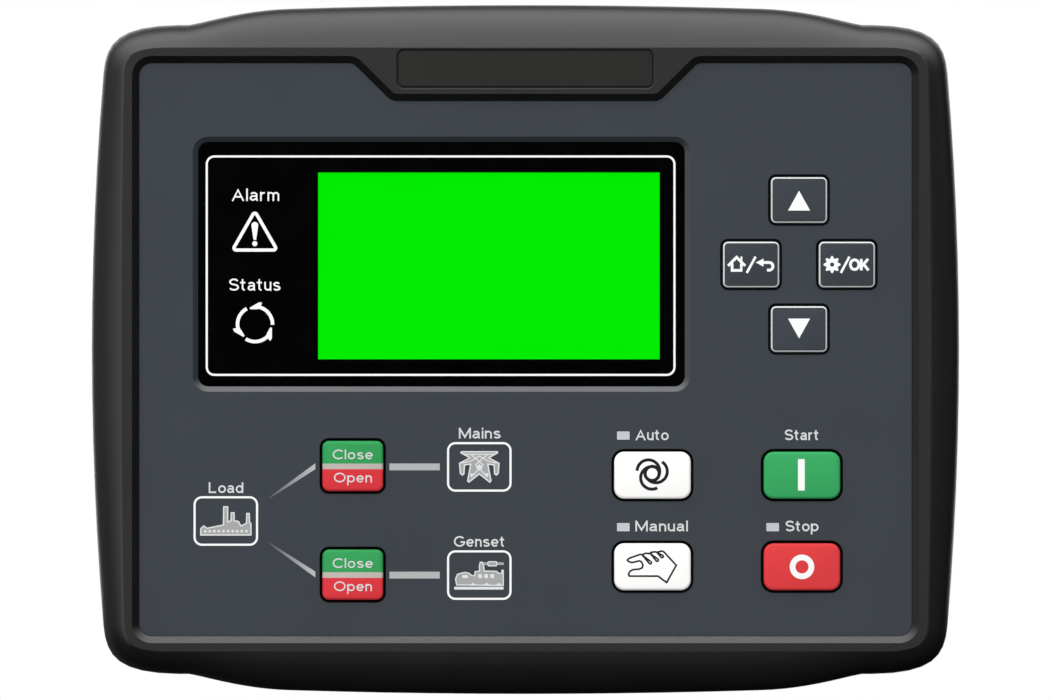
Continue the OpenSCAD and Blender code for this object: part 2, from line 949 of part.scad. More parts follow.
module board_spacers() {
    color(brass)
        upright()
            for (b = bosses)
                difference() {
                    union() {
                        translate([b[0], b[1], io_z])
                            cylinder(r = spacer_r, h = spacer_l, $fn = 6);
                        rod(stud_r, board_back - 0.5, fascia_back - 0.5, b);
                    }
                    rod(stud_r + screw_gap, io_z - cut, io_z + io_screw_l + 0.5, b);
                }
}

// Input and output board
module io_board() {
    color(board_green)
        upright()
            difference() {
                box(2 * io_x, 2 * io_y, io_back, io_z);
                for (b = bosses)
                    rod(stud_r + screw_gap, io_back - cut, io_z + cut, b);
            }
}

module pan_screw(c, z, l, r, head_r, head_t) {
    translate([c[0], c[1], z])
        difference() {
            union() {
                translate([0, 0, -head_t])
                    cylinder(r = head_r, h = head_t);
                translate([0, 0, -0.4])
                    cylinder(r = r, h = l + 0.4);
            }
            translate([-head_r, -0.4, -head_t - cut])
                cube([2 * head_r, 0.8, cut + 0.45 * head_t]);
        }
}

module io_board_screws() {
    color(steel)
        upright()
            for (b = bosses)
                pan_screw(b, io_back, io_screw_l + board_t, stud_r, io_head_r, io_head_t);
}

module relay(i) {
    x = (i - 2.2) * relay_pitch;
    color(blue)
        upright()
            box(relay_w, relay_d, io_back - relay_h, io_back, [x, relay_y]);
}

module relay_mains() { relay(0); }
module relay_genset() { relay(1); }
module relay_fuel() { relay(2); }
module relay_crank() { relay(3); }

module supply_capacitors() {
    color(dark)
        upright()
            for (y = cap_places)
                translate([cap_x, y, io_back - cap_h])
                    rotate_extrude()
                        polygon([
                            [0, 0], [cap_r - 0.6, 0], [cap_r, 0.6], [cap_r, cap_h - 3],
                            [cap_r - 0.6, cap_h - 2.4], [cap_r, cap_h - 1.8], [cap_r, cap_h], [0, cap_h]
                        ]);
}

module supply_inductor() {
    color(brass)
        upright()
            translate([coil_at[0], coil_at[1], io_back - coil_t - rest_gap])
                rotate_extrude()
                    translate([coil_r, 0])
                        circle(r = coil_t);
}

// Rear housing
module house_shell() {
    outer = box_corners(house_w, house_h, house_r);
    difference() {
        union() {
            plate(rounded(outer), shelf_z, bezel_back);
            plate(rounded(box_corners(hump_w, hump_h, hump_r)), rear_z, shelf_z + 0.5);
        }
        plate(rounded(inset(outer, wall)), shelf_z + wall, bezel_back + cut);
        plate(rounded(inset(box_corners(hump_w, hump_h, hump_r), wall)), rear_z + wall, shelf_z + wall + cut);
    }
}

module vents() {
    for (side = [-1, 1], i = [0:vent_n - 1])
        box(vent_l, vent_w, rear_z - cut, rear_z + wall + cut,
            [side * hump_w / 4, (i - (vent_n - 1) / 2) * vent_pitch]);
}

module row_opening(x, w, d, side) {
    box(w + 4 * fit_gap, d + 4 * fit_gap, shelf_z - cut, shelf_z + wall + cut, [x, side * row_y]);
}

module locating_rib(side) {
    face = cavity_x - 2 * fit_gap;
    root = house_w / 2 - wall / 2;
    box(rib_t, rib_l, rib_z, bezel_back + rib_h, [side * (face - rib_t / 2), 0]);
    box(root - face + rib_t, rib_l, rib_z, bezel_back, [side * (root + face - rib_t) / 2, 0]);
}

module rear_housing() {
    color(black)
        upright()
            difference() {
                union() {
                    house_shell();
                    for (x = [-1, 1], y = [-1, 1])
                        rod(column_r, shelf_z + wall - 0.5, bezel_back, [x * post_x, y * post_y]);
                    for (x = [-1, 1])
                        locating_rib(x);
                }
                vents();
                row_opening(supply_x, supply_w, header_d, -1);
                row_opening(sensor_x, sensor_w, header_d, -1);
                row_opening(voltage_x, voltage_w, header_d, 1);
                row_opening(current_x, current_w, header_d, 1);
                row_opening(port_x, port_w, port_d, 1);
                for (x = [-1, 1], y = [-1, 1]) {
                    rod(case_r + screw_gap, shelf_z - cut, bezel_back + cut, [x * post_x, y * post_y]);
                    box(slot_cut, slot_w, slot_z - slot_h / 2, slot_z + slot_h / 2,
                        [x * house_w / 2, y * clip_y]);
                }
            }
}

module case_screws() {
    color(steel)
        upright()
            for (x = [-1, 1], y = [-1, 1])
                pan_screw([x * post_x, y * post_y], shelf_z, shelf_depth + bezel_back + case_depth - 0.5,
                    case_r, case_head_r, case_head_t);
}

module panel_gasket() {
    color(dark)
        upright()
            gasket_ring(0, 0, gasket_t);
}

// Fixing clips and their clamping screws, drawn for the right side
module clip(left, row) {
    color(steel)
        upright()
            mirrored(left, [1, 0, 0])
                translate([0, row * clip_y, 0])
                    rotate([90, 0, 0])
                        difference() {
                            union() {
                                translate([0, 0, -clip_w / 2])
                                    linear_extrude(clip_w)
                                        polygon([
                                            [clip_face, clip_front], [clip_face, ear_back],
                                            [clip_face + ear_reach, ear_back], [clip_face + ear_reach, ear_front],
                                            [clip_face + clip_t + 1.2, ear_front],
                                            [clip_face + clip_t, ear_front + 1.2],
                                            [clip_face + clip_t, clip_front]
                                        ]);
                                translate([0, 0, -(slot_w / 2 - tab_gap)])
                                    linear_extrude(slot_w - 2 * tab_gap)
                                        polygon([
                                            [clip_face + 0.5, slot_z - slot_h / 2 + tab_gap],
                                            [clip_face + 0.5, slot_z + slot_h / 2 - tab_gap],
                                            [house_w / 2 - wall - tab_gap, slot_z + slot_h / 2 - tab_gap],
                                            [house_w / 2 - wall - tab_gap, slot_z + slot_h / 2 + hook_lip],
                                            [house_w / 2 - wall - hook_in, slot_z + slot_h / 2],
                                            [house_w / 2 - wall - hook_in, slot_z - slot_h / 2 + tab_gap]
                                        ]);
                            }
                            translate([clamp_x, ear_back - cut, 0])
                                rotate([-90, 0, 0])
                                    cylinder(r = clamp_r + thread_gap, h = ear_front - ear_back + 2 * cut);
                        }
}

module clamp_screw(left, row) {
    color(steel)
        upright()
            mirrored(left, [1, 0, 0])
                pan_screw([clamp_x, row * clip_y], clamp_tip - clamp_l, clamp_l, clamp_r, clamp_head_r, clamp_head_t);
}

module clip_left_upper() { clip(true, 1); }
module clip_left_lower() { clip(true, -1); }
module clip_right_upper() { clip(false, 1); }
module clip_right_lower() { clip(false, -1); }
module screw_left_upper() { clamp_screw(true, 1); }
module screw_left_lower() { clamp_screw(true, -1); }
module screw_right_upper() { clamp_screw(false, 1); }
module screw_right_lower() { clamp_screw(false, -1); }

// Terminal blocks: drawn for the lower row, mirrored for the upper one
function block_w(ways) = ways * pitch + 2 * plug_end;
function way_x(x, ways, i) = x + (i - (ways - 1) / 2) * pitch;

module header(x, ways, side) {
    w = block_w(ways);
    color(block_green)
        upright()
            difference() {
                box(w, header_d, header_z, io_back, [x, side * row_y]);
                box(w - 2 * header_wall, header_d - 2 * header_wall, header_z - cut, io_back - header_floor,
                    [x, side * row_y]);
                for (i = [0:ways - 1])
                    box(pin_w, pin_w, io_back - header_floor - cut, io_back + cut,
                        [way_x(x, ways, i), side * row_y]);
            }
}

module plug(x, ways, side) {
    w = block_w(ways);
    half = plug_d / 2;
    color(block_green)
        upright()
            mirrored(side > 0, [0, 1, 0])
                difference() {
                    union() {
                        box(w - 2 * header_wall - 2 * fit_gap, header_d - 2 * header_wall - 2 * fit_gap,
                            header_z - 0.5, io_back - header_floor - fit_gap, [x, -row_y]);
                        translate([x - w / 2, 0, 0])
                            rotate([90, 0, 90])
                                linear_extrude(w)
                                    polygon([
                                        [-row_y - half, header_z], [-row_y - half, plug_z + plug_edge],
                                        [-row_y - half + plug_edge, plug_z], [-row_y + half - plug_edge, plug_z],
                                        [-row_y + half, plug_z + plug_edge], [-row_y + half, header_z]
                                    ]);
                    }
                    for (i = [0:ways - 1]) {
                        rod(well_r, plug_z - cut, plug_z + well_depth, [way_x(x, ways, i), -row_y]);
                        box(entry_w, half + clamp_in + cut, entry_z - entry_h / 2, entry_z + entry_h / 2,
                            [way_x(x, ways, i), -row_y + (clamp_in - half - cut) / 2]);
                        box(pin_w + 4 * fit_gap, pin_w + 4 * fit_gap, header_z + pin_hole_end, io_back,
                            [way_x(x, ways, i), -row_y]);
                    }
                }
}

module all_ways() {
    for (i = [0:supply_ways - 1])
        translate([way_x(supply_x, supply_ways, i), -row_y, 0]) children();
    for (i = [0:sensor_ways - 1])
        translate([way_x(sensor_x, sensor_ways, i), -row_y, 0]) children();
    for (i = [0:voltage_ways - 1])
        translate([way_x(voltage_x, voltage_ways, i), row_y, 0]) mirror([0, 1, 0]) children();
    for (i = [0:current_ways - 1])
        translate([way_x(current_x, current_ways, i), row_y, 0]) mirror([0, 1, 0]) children();
}

module terminal_pins() {
    color(steel)
        upright()
            all_ways()
                box(pin_w, pin_w, header_z + pin_end, io_back);
}

module terminal_screws() {
    color(steel)
        upright()
            all_ways()
                difference() {
                    rod(screw_r, plug_z + screw_sink, plug_z + screw_sink + screw_t);
                    box(2 * screw_r + cut, drive_w, plug_z + screw_sink - cut, plug_z + screw_sink + drive_d);
                }
}

module terminal_clamps() {
    color(steel)
        upright()
            all_ways()
                box(entry_w - 2 * fit_gap, 2 * clamp_in - fit_gap, entry_z - entry_h / 2 + fit_gap,
                    entry_z + entry_h / 2 - fit_gap, [0, -fit_gap / 2]);
}

module supply_header() { header(supply_x, supply_ways, -1); }
module sensor_header() { header(sensor_x, sensor_ways, -1); }
module voltage_header() { header(voltage_x, voltage_ways, 1); }
module current_header() { header(current_x, current_ways, 1); }
module supply_plug() { plug(supply_x, supply_ways, -1); }
module sensor_plug() { plug(sensor_x, sensor_ways, -1); }
module voltage_plug() { plug(voltage_x, voltage_ways, 1); }
module current_plug() { plug(current_x, current_ways, 1); }

module link_port() {
    color(steel)
        upright()
            difference() {
                box(port_w, port_d, io_back - port_h, io_back, [port_x, row_y]);
                box(port_mouth_w, port_mouth_h, io_back - port_h - cut,
                    io_back - port_h + port_mouth_depth, [port_x, row_y]);
            }
}

front_bezel();
fascia();
name_plate();
display_window();
lcd_frame();
lcd_glass();
lcd_backlight();
key_up();
key_down();
key_home();
key_ok();
key_auto();
key_manual();
key_start();
key_stop();
key_mains_breaker();
key_genset_breaker();
keypad_mat();
indicator_auto();
indicator_manual();
indicator_stop();
guide_alarm();
guide_status();
indicator_leds();
display_board();
processor();
board_header();
board_spacers();
io_board();
io_board_screws();
board_socket();
relay_mains();
relay_genset();
relay_fuel();
relay_crank();
supply_capacitors();
supply_inductor();
rear_housing();
case_screws();
panel_gasket();
clip_left_upper();
clip_left_lower();
clip_right_upper();
clip_right_lower();
screw_left_upper();
screw_left_lower();
screw_right_upper();
screw_right_lower();
supply_header();
sensor_header();
voltage_header();
current_header();
supply_plug();
sensor_plug();
voltage_plug();
current_plug();
terminal_pins();
terminal_screws();
terminal_clamps();
link_port();
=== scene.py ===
import math

import bmesh
import bpy
from mathutils import Matrix, Vector


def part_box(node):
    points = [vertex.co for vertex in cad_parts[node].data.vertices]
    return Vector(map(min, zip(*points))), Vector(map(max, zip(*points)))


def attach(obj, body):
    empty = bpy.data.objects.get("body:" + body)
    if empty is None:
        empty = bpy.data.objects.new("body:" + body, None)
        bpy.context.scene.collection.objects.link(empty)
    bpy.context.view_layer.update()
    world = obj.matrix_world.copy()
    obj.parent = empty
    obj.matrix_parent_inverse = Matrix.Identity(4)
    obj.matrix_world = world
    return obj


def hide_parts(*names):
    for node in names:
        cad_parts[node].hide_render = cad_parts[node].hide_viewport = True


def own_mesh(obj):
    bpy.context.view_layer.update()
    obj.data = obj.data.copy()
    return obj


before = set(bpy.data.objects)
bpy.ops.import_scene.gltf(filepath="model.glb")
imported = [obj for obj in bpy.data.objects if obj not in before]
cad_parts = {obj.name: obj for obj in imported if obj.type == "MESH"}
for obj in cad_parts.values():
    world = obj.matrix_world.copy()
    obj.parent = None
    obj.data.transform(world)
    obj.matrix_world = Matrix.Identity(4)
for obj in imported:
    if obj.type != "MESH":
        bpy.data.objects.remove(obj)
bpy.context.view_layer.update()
scene = bpy.context.scene

MM = 0.001

# Camera: a long lens straight in front of the panel
LENS = 400.0
SENSOR = 36.0
VIEW_WIDTH = 0.2531
SILHOUETTE_DEPTH = -0.002
CAMERA_SHIFT = -0.00012
CAMERA_REACH = 30.0

# Lamps, rear card and floor, in metres and watts
LAMP_SIZE = 1.2
FRONT_LAMP_AT = (-0.5, -1.25, 1.15)
FRONT_LAMP_WATTS = 18.0
REAR_LAMP_AT = (0.5, 1.25, 1.15)
REAR_LAMP_WATTS = 14.0
CARD_WIDTH = 0.4
CARD_HEIGHT = 0.26
CARD_AT = (0.0, 0.17, 0.06)
CARD_WATTS = 0.4
FLOOR_RADIUS = 0.95
FLOOR_LEVEL = -0.12

# Strength of the studio: soft boxes that gloss shows, and the fill that lights matt faces
FRONT_BOX = 1.45
LEFT_BOX = 0.6
LEFT_EDGE = 0.2
RIGHT_SHADE = -1.6
TOP_BOX = 1.2
TOP_SKY = 2.2
FILL = 0.74
FILL_RISE = 0.4

# Where the studio's zones start and end, by the y part of a direction
GAP_EDGE = 0.95
GAP_FULL = 0.985
TOP_FULL = 0.18
TOP_END = 0.62
BEHIND_EDGE = 0.95
BEHIND_FULL = 0.99

# Small edges, in millimetres
CHAMFER_STEP = 0.25
RECESS_ROUNDING = 0.2
RIM_ROUNDING = 0.45
HOLE_ROUNDING = 0.3
CASE_ROUNDING = 0.8
PLATE_EDGE = 0.12
GUIDE_EDGE = 0.1
GASKET_EDGE = 0.3
CLIP_EDGE = 0.15
SCREW_EDGE = 0.12

# A face's stand is the y part of its normal, which is -1 on a flat front face
FLAT_FRONT = -0.9995
NEARLY_FRONT = -0.95
WALL = 0.3
FACING = 0.9
FLAT_REAR = 0.99

# Tolerances in metres, angles in degrees
MERGE = 2e-6
SAME_DEPTH = 1e-5
HOLE_REACH = 1.0 * MM
FLAT_ANGLE = 0.2
SOFT_ANGLE = 35
SMOOTH_ANGLE = 30
KEY_SMOOTH = 40
CASE_SMOOTH = 35

# Each key, with the body that it moves with
KEY_BODIES = {
    "key_up": "up_key",
    "key_down": "down_key",
    "key_home": "home_key",
    "key_ok": "ok_key",
    "key_auto": "auto_key",
    "key_manual": "manual_key",
    "key_start": "start_key",
    "key_stop": "stop_key",
    "key_mains_breaker": "mains_breaker_key",
    "key_genset_breaker": "genset_breaker_key",
}
NAV_KEYS = ("key_up", "key_down", "key_home", "key_ok")
BREAKER_KEYS = ("key_mains_breaker", "key_genset_breaker")
CORNERS = ("left_upper", "left_lower", "right_upper", "right_lower")

# Window: black border round the clear pane, and how much more at the top, in millimetres
PANE_BORDER = 5.5
PANE_TOP = 0.2

# Keys: depth and stand of the shoulder with the line, and the start of the skirt that is painted black as
# shade
LINE_DEPTH = 0.62
LINE_STEEP = 0.1
LINE_FLAT = 0.93
SKIRT_DROP = 0.05

# Breaker key: half its height in millimetres, and the grey band's ends as shares of the height
CAP_HALF = 6
BAND_LOW = 0.435
BAND_HIGH = 0.55

# Rubber dome under a key: radius and height above the board in millimetres, from top to contact
DOME_FOOT = 4.4
DOME_LINE = ((0, 2.7), (3.2, 2.7), (4.38, 1.0), (4.38, 0), (3.7, 0), (2.5, 2.0), (1.5, 2.0), (1.5, 1.1),
             (0, 1.1))
DOME_STEPS = 40
DOME_SLACK = 0.05

# An outer wall of the case is deeper than this, in millimetres
CASE_WALL = 5

# Print film, in millimetres: thickness, lift from its face, and the step between crossing lines
FILM = 0.03
FILM_LIFT = 0.02
FILM_STEP = 0.004
FILM_LEVELS = 4
ICON_LIFT = 2.5 * FILM_LIFT

# Words: heights of capitals in millimetres, weights of the line as parts of that height
PANEL_CAP = 2.6
BREAKER_CAP = 2.4
WINDOW_CAP = 3.0
NAV_CAP = 2.75
PANEL_WEIGHT = 0.148
BREAKER_WEIGHT = 0.135
WINDOW_WEIGHT = 0.125
NAV_WEIGHT = 0.24
LETTER_GAP = 0.15
RING_STEPS = 32

# Words: left end, right end and baseline in millimetres
PANEL_WORDS = (
    ("Auto", 26.4, 34.4, -21.8),
    ("Manual", 26.4, 39.0, -43.7),
    ("Start", 62.3, 70.5, -21.8),
    ("Stop", 62.5, 70.4, -43.7),
    ("Load", -76.1, -67.8, -34.5),
    ("Mains", -16.0, -5.95, -21.4),
    ("Genset", -17.2, -4.94, -47.4),
)
WINDOW_WORDS = (("Alarm", -70.6, -59.2, 35.7), ("Status", -71.2, -58.9, 14.1))
BREAKER_WORDS = (("Close", -4.8, 4.85, 1.6), ("Open", -4.5, 4.6, -3.95))
NAV_WORDS = (("OK", 0.5, 5.5, -1.4),)

# Window print, in millimetres: middle, width, height, radius and line of its border, and its two signs
WINDOW_BORDER = (-20.4, 20.15, 112.9, 53.0, 2.1, 0.5)
ALARM_AT = (-65.05, 28.1)
STATUS_AT = (-65.0, 6.1)

# Mimic diagram, in millimetres: boxes (width, height, radius and line), bars and fading branches
BOX = (15.5, 11.9, 2.0, 0.5)
LOAD_AT = (-72.0, -41.2)
MAINS_AT = (-11.1, -28.2)
GENSET_AT = (-11.1, -54.2)
BAR_X = -26.65
BAR_LENGTH = 12.1
BAR_LINE = 1.64
BRANCH_START = -61.5
BRANCH_END = -50.5


def srgb(red, green, blue):
    """Colour as seen in a picture, 0 to 255, in Blender's linear values."""
    def linear(level):
        level = level / 255
        return level / 12.92 if level <= 0.04045 else ((level + 0.055) / 1.055) ** 2.4
    return (linear(red), linear(green), linear(blue), 1.0)


# Materials: grain sizes and depths are in millimetres

NOISE_LOW = 0.3
NOISE_HIGH = 0.7
TONE_PATCH = 22.0
INK_GRAIN = 0.18
INK_THIN = 0.35
INK_FULL = 0.65
DOT_PITCH = 0.34
DOT_SHARE = 0.9


def put(tree, value, socket):
    """Links an output to a socket, or sets the socket to a plain value."""
    if isinstance(value, bpy.types.NodeSocket):
        tree.links.new(value, socket)
    else:
        socket.default_value = value


def set_inputs(tree, node, **values):
    """Puts values into a node's inputs by name, where an underscore stands for a space."""
    for name, value in values.items():
        put(tree, value, node.inputs[name.replace("_", " ")])


def add_node(tree, kind, **values):
    node = tree.nodes.new(kind)
    set_inputs(tree, node, **values)
    return node


def math_step(tree, operation, first, second=0.0):
    node = tree.nodes.new("ShaderNodeMath")
    node.operation = operation
    put(tree, first, node.inputs[0])
    put(tree, second, node.inputs[1])
    return node.outputs[0]


def remap(tree, value, low, high, to_low, to_high):
    node = add_node(tree, "ShaderNodeMapRange", Value=value, From_Min=low, From_Max=high,
                    To_Min=to_low, To_Max=to_high)
    return node.outputs[0]


def blend_numbers(tree, factor, first, second):
    node = tree.nodes.new("ShaderNodeMix")
    put(tree, factor, node.inputs[0])
    put(tree, first, node.inputs[2])
    put(tree, second, node.inputs[3])
    return node.outputs[0]


def blend_colours(tree, factor, first, second):
    node = tree.nodes.new("ShaderNodeMix")
    node.data_type = "RGBA"
    put(tree, factor, node.inputs[0])
    put(tree, first, node.inputs[6])
    put(tree, second, node.inputs[7])
    return node.outputs[2]


def shade(colour, factor):
    return (colour[0] * factor, colour[1] * factor, colour[2] * factor, 1.0)


def start_material(name):
    material = bpy.data.materials.new(name)
    material.use_nodes = True
    tree = material.node_tree
    shader = tree.nodes["Principled BSDF"]
    place = tree.nodes.new("ShaderNodeTexCoord").outputs["Object"]
    return material, tree, shader, place


def noise(tree, place, size_mm, detail=2.0):
    scale = 1 / (size_mm * MM)
    return add_node(tree, "ShaderNodeTexNoise", Vector=place, Scale=scale, Detail=detail).outputs[0]


def spread(tree, grain, low, high):
    """A noise stretched from its usual values to the range from low to high."""
    return remap(tree, grain, NOISE_LOW, NOISE_HIGH, low, high)


def roughen(tree, shader, grain, rough, change):
    set_inputs(tree, shader, Roughness=spread(tree, grain, rough - change, rough + change))


def emboss(tree, shader, height, depth_mm):
    bump = add_node(tree, "ShaderNodeBump", Height=height, Strength=1.0, Distance=depth_mm * MM)
    set_inputs(tree, shader, Normal=bump.outputs[0])


def moulded(name, colour, rough, specular, grain_mm, depth_mm, tone=0.05):
    """Moulded plastic: fine mould grain, slow change of tone and gloss."""
    material, tree, shader, place = start_material(name)
    grain = noise(tree, place, grain_mm, 3.0)
    cloud = spread(tree, noise(tree, place, TONE_PATCH, 1.0), 0.0, 1.0)
    colours = blend_colours(tree, cloud, shade(colour, 1 - tone), shade(colour, 1 + tone))
    set_inputs(tree, shader, Base_Color=colours, Specular_IOR_Level=specular)
    roughen(tree, shader, grain, rough, 0.05)
    emboss(tree, shader, grain, depth_mm)
    return material


def dry_ink(tree, shader, cover):
    """The faint gloss of dry ink."""
    roughen(tree, shader, cover, 0.55, 0.04)
    set_inputs(tree, shader, Specular_IOR_Level=0.3)


def ink(name, colour):
    """Screen-printed ink: slightly uneven cover."""
    material, tree, shader, place = start_material(name)
    cover = noise(tree, place, INK_GRAIN)
    share = remap(tree, cover, INK_THIN, INK_FULL, 0.0, 1.0)
    set_inputs(tree, shader, Base_Color=blend_colours(tree, share, shade(colour, 0.97), colour))
    dry_ink(tree, shader, cover)
    return material


def fading_ink(name, start, end, dim, full):
    """Ink that goes from a dim to a full tone across the panel, from start to end."""
    material, tree, shader, place = start_material(name)
    across = add_node(tree, "ShaderNodeSeparateXYZ", Vector=place).outputs[0]
    share = remap(tree, across, start * MM, end * MM, 0.0, 1.0)
    set_inputs(tree, shader, Base_Color=blend_colours(tree, share, dim, full))
    dry_ink(tree, shader, noise(tree, place, INK_GRAIN))
    return material


def breaker_cap(name, middle):
    """Two-colour key: green above, a grey band, red below."""
    material, tree, shader, place = start_material(name)
    height = add_node(tree, "ShaderNodeSeparateXYZ", Vector=place).outputs[2]
    share = remap(tree, height, middle - CAP_HALF * MM, middle + CAP_HALF * MM, 0.0, 1.0)
    ramp = add_node(tree, "ShaderNodeValToRGB", Fac=share)
    steps = ramp.color_ramp
    steps.interpolation = "CONSTANT"
    steps.elements[0].color = srgb(214, 46, 56)
    steps.elements[1].position = BAND_LOW
    steps.elements[1].color = srgb(184, 176, 169)
    top = steps.elements.new(BAND_HIGH)
    top.color = srgb(41, 150, 80)
    grain = noise(tree, place, 0.4, 3.0)
    dirt = spread(tree, grain, 0.0, 0.05)
    colours = blend_colours(tree, dirt, ramp.outputs[0], (0.02, 0.02, 0.02, 1.0))
    set_inputs(tree, shader, Base_Color=colours, Specular_IOR_Level=0.3)
    roughen(tree, shader, grain, 0.5, 0.05)
    emboss(tree, shader, grain, 0.003)
    return material


def lit_screen():
    """Lit liquid-crystal field with its fine dot grid."""
    material, tree, shader, place = start_material("lit_screen")
    parts = add_node(tree, "ShaderNodeSeparateXYZ", Vector=place).outputs
    lines = []
    for part in (parts[0], parts[2]):
        dots = math_step(tree, "FRACT", math_step(tree, "DIVIDE", part, DOT_PITCH * MM))
        lines.append(math_step(tree, "GREATER_THAN", dots, DOT_SHARE))
    grid = math_step(tree, "MAXIMUM", lines[0], lines[1])
    cloud = spread(tree, noise(tree, place, 30.0), 0.0, 0.05)
    dim = math_step(tree, "ADD", math_step(tree, "MULTIPLY", grid, 0.07), cloud)
    glow = blend_colours(tree, dim, srgb(1, 235, 1), srgb(1, 188, 3))
    set_inputs(tree, shader, Emission_Color=glow, Emission_Strength=1.0, Roughness=0.5,
               Base_Color=(0.0005, 0.02, 0.0005, 1.0), Specular_IOR_Level=0.0)
    return material


def clear_pane():
    """Clear part of the window over the screen."""
    material, tree, shader, place = start_material("clear_pane")
    roughen(tree, shader, noise(tree, place, 4.0), 0.02, 0.01)
    set_inputs(tree, shader, Base_Color=(1.0, 1.0, 1.0, 1.0), Transmission_Weight=1.0, IOR=1.06,
               Specular_IOR_Level=0.1)
    return material


def black_lens():
    """Black printed lens with a smooth face."""
    material, tree, shader, place = start_material("black_lens")
    haze = noise(tree, place, 9.0)
    colours = blend_colours(tree, haze, (0.0003, 0.0003, 0.0003, 1.0), (0.0008, 0.0008, 0.0008, 1.0))
    set_inputs(tree, shader, Base_Color=colours, Specular_IOR_Level=0.12)
    roughen(tree, shader, haze, 0.16, 0.03)
    return material


def plated(name, colour, rough, metallic=1.0):
    """Zinc-plated or plain metal with fine drawing lines."""
    material, tree, shader, place = start_material(name)
    stretched = add_node(tree, "ShaderNodeMapping", Vector=place, Scale=(1.0, 0.12, 1.0)).outputs[0]
    lines = noise(tree, stretched, 0.25, 3.0)
    patches = noise(tree, place, 3.0)
    colours = blend_colours(tree, patches, shade(colour, 0.85), shade(colour, 1.1))
    set_inputs(tree, shader, Base_Color=colours, Metallic=metallic)
    roughen(tree, shader, lines, rough, 0.08)
    emboss(tree, shader, lines, 0.004)
    return material


def circuit_board(name):
    """Green solder mask over copper tracks."""
    material, tree, shader, place = start_material(name)
    upright = add_node(tree, "ShaderNodeMapping", Vector=place, Rotation=(math.radians(90), 0, 0)).outputs[0]
    tracks = add_node(tree, "ShaderNodeTexBrick", Vector=upright, Scale=90.0, Mortar_Size=0.03).outputs[1]
    colours = blend_colours(tree, tracks, srgb(20, 92, 58), srgb(40, 120, 74))
    set_inputs(tree, shader, Base_Color=colours)
    roughen(tree, shader, noise(tree, place, 0.6), 0.32, 0.05)
    emboss(tree, shader, tracks, 0.03)
    return material


# Plastics: colour, roughness, specular level, grain, its depth, and for some the change of tone
bezel_black = moulded("bezel_black", srgb(24, 24, 25), 0.36, 0.5, 0.35, 0.004)
bezel_polished = moulded("bezel_polished", srgb(24, 24, 25), 0.2, 0.5, 0.6, 0.001)
housing_black = moulded("housing_black", srgb(34, 34, 35), 0.52, 0.4, 0.5, 0.012)
plate_dark = moulded("plate_dark", srgb(36, 36, 34), 0.55, 0.15, 0.25, 0.003)
fascia_slate = moulded("fascia_slate", srgb(57, 62, 68), 0.6, 0.15, 0.3, 0.005, 0.03)
# Darker slate that paints shade on the polished chamfer round the window; its gloss is its own
slate_polished_shade = moulded("slate_polished_shade", srgb(46, 50, 55), 0.22, 0.65, 0.6, 0.001, 0.03)
# Black that paints the shade in the gaps round the keys: hole walls, rounded hole edges and key skirts
painted_gap_shade = moulded("painted_gap_shade", srgb(14, 14, 15), 0.7, 0.2, 0.4, 0.003)
key_slate = moulded("key_slate", srgb(57, 62, 68), 0.55, 0.15, 0.3, 0.004, 0.03)
key_line = moulded("key_line", srgb(226, 228, 230), 0.4, 0.5, 0.3, 0.002, 0.03)
key_white = moulded("key_white", srgb(250, 250, 248), 0.5, 0.3, 0.4, 0.002, 0.005)
key_green = moulded("key_green", srgb(46, 160, 90), 0.5, 0.3, 0.4, 0.003, 0.03)
key_red = moulded("key_red", srgb(214, 54, 57), 0.5, 0.3, 0.4, 0.003, 0.03)
light_guide = moulded("light_guide", srgb(191, 195, 199), 0.35, 0.5, 0.8, 0.002, 0.03)
gasket_rubber = moulded("gasket_rubber", srgb(38, 38, 39), 0.8, 0.3, 0.6, 0.02)
keypad_rubber = moulded("keypad_rubber", srgb(70, 70, 72), 0.75, 0.3, 0.5, 0.01)
chip_black = moulded("chip_black", srgb(30, 30, 31), 0.6, 0.4, 0.3, 0.006)
relay_blue = moulded("relay_blue", srgb(38, 84, 160), 0.4, 0.5, 0.5, 0.004)
terminal_green = moulded("terminal_green", srgb(42, 128, 76), 0.45, 0.5, 0.5, 0.006)
header_green = moulded("header_green", srgb(36, 112, 66), 0.5, 0.5, 0.5, 0.006)
port_grey = moulded("port_grey", srgb(52, 52, 54), 0.5, 0.5, 0.5, 0.006)
backlight_white = moulded("backlight_white", srgb(235, 236, 232), 0.5, 0.3, 0.5, 0.003)
capacitor_sleeve = moulded("capacitor_sleeve", srgb(36, 38, 44), 0.35, 0.5, 0.5, 0.003)

# Metals: colour, roughness, and for some how metallic they look
zinc_steel = plated("zinc_steel", srgb(188, 190, 192), 0.4, 0.6)
frame_steel = plated("frame_steel", srgb(150, 152, 155), 0.35)
plain_brass = plated("plain_brass", srgb(206, 176, 100), 0.3)
copper_wire = plated("copper_wire", srgb(196, 116, 70), 0.35)

# Inks
white_ink = ink("white_ink", srgb(245, 246, 246))
word_ink = ink("word_ink", srgb(212, 213, 214))
grey_ink = ink("grey_ink", srgb(173, 175, 177))
black_ink = ink("black_ink", srgb(5, 5, 5))
icon_ink = ink("icon_ink", srgb(162, 163, 162))
icon_light = ink("icon_light", srgb(220, 221, 222))
branch_ink = fading_ink("branch_ink", BRANCH_START, BRANCH_END, srgb(74, 78, 83), srgb(182, 184, 186))

solder_mask = circuit_board("solder_mask")
screen_glow = lit_screen()
pane_clear = clear_pane()
lens_black = black_lens()

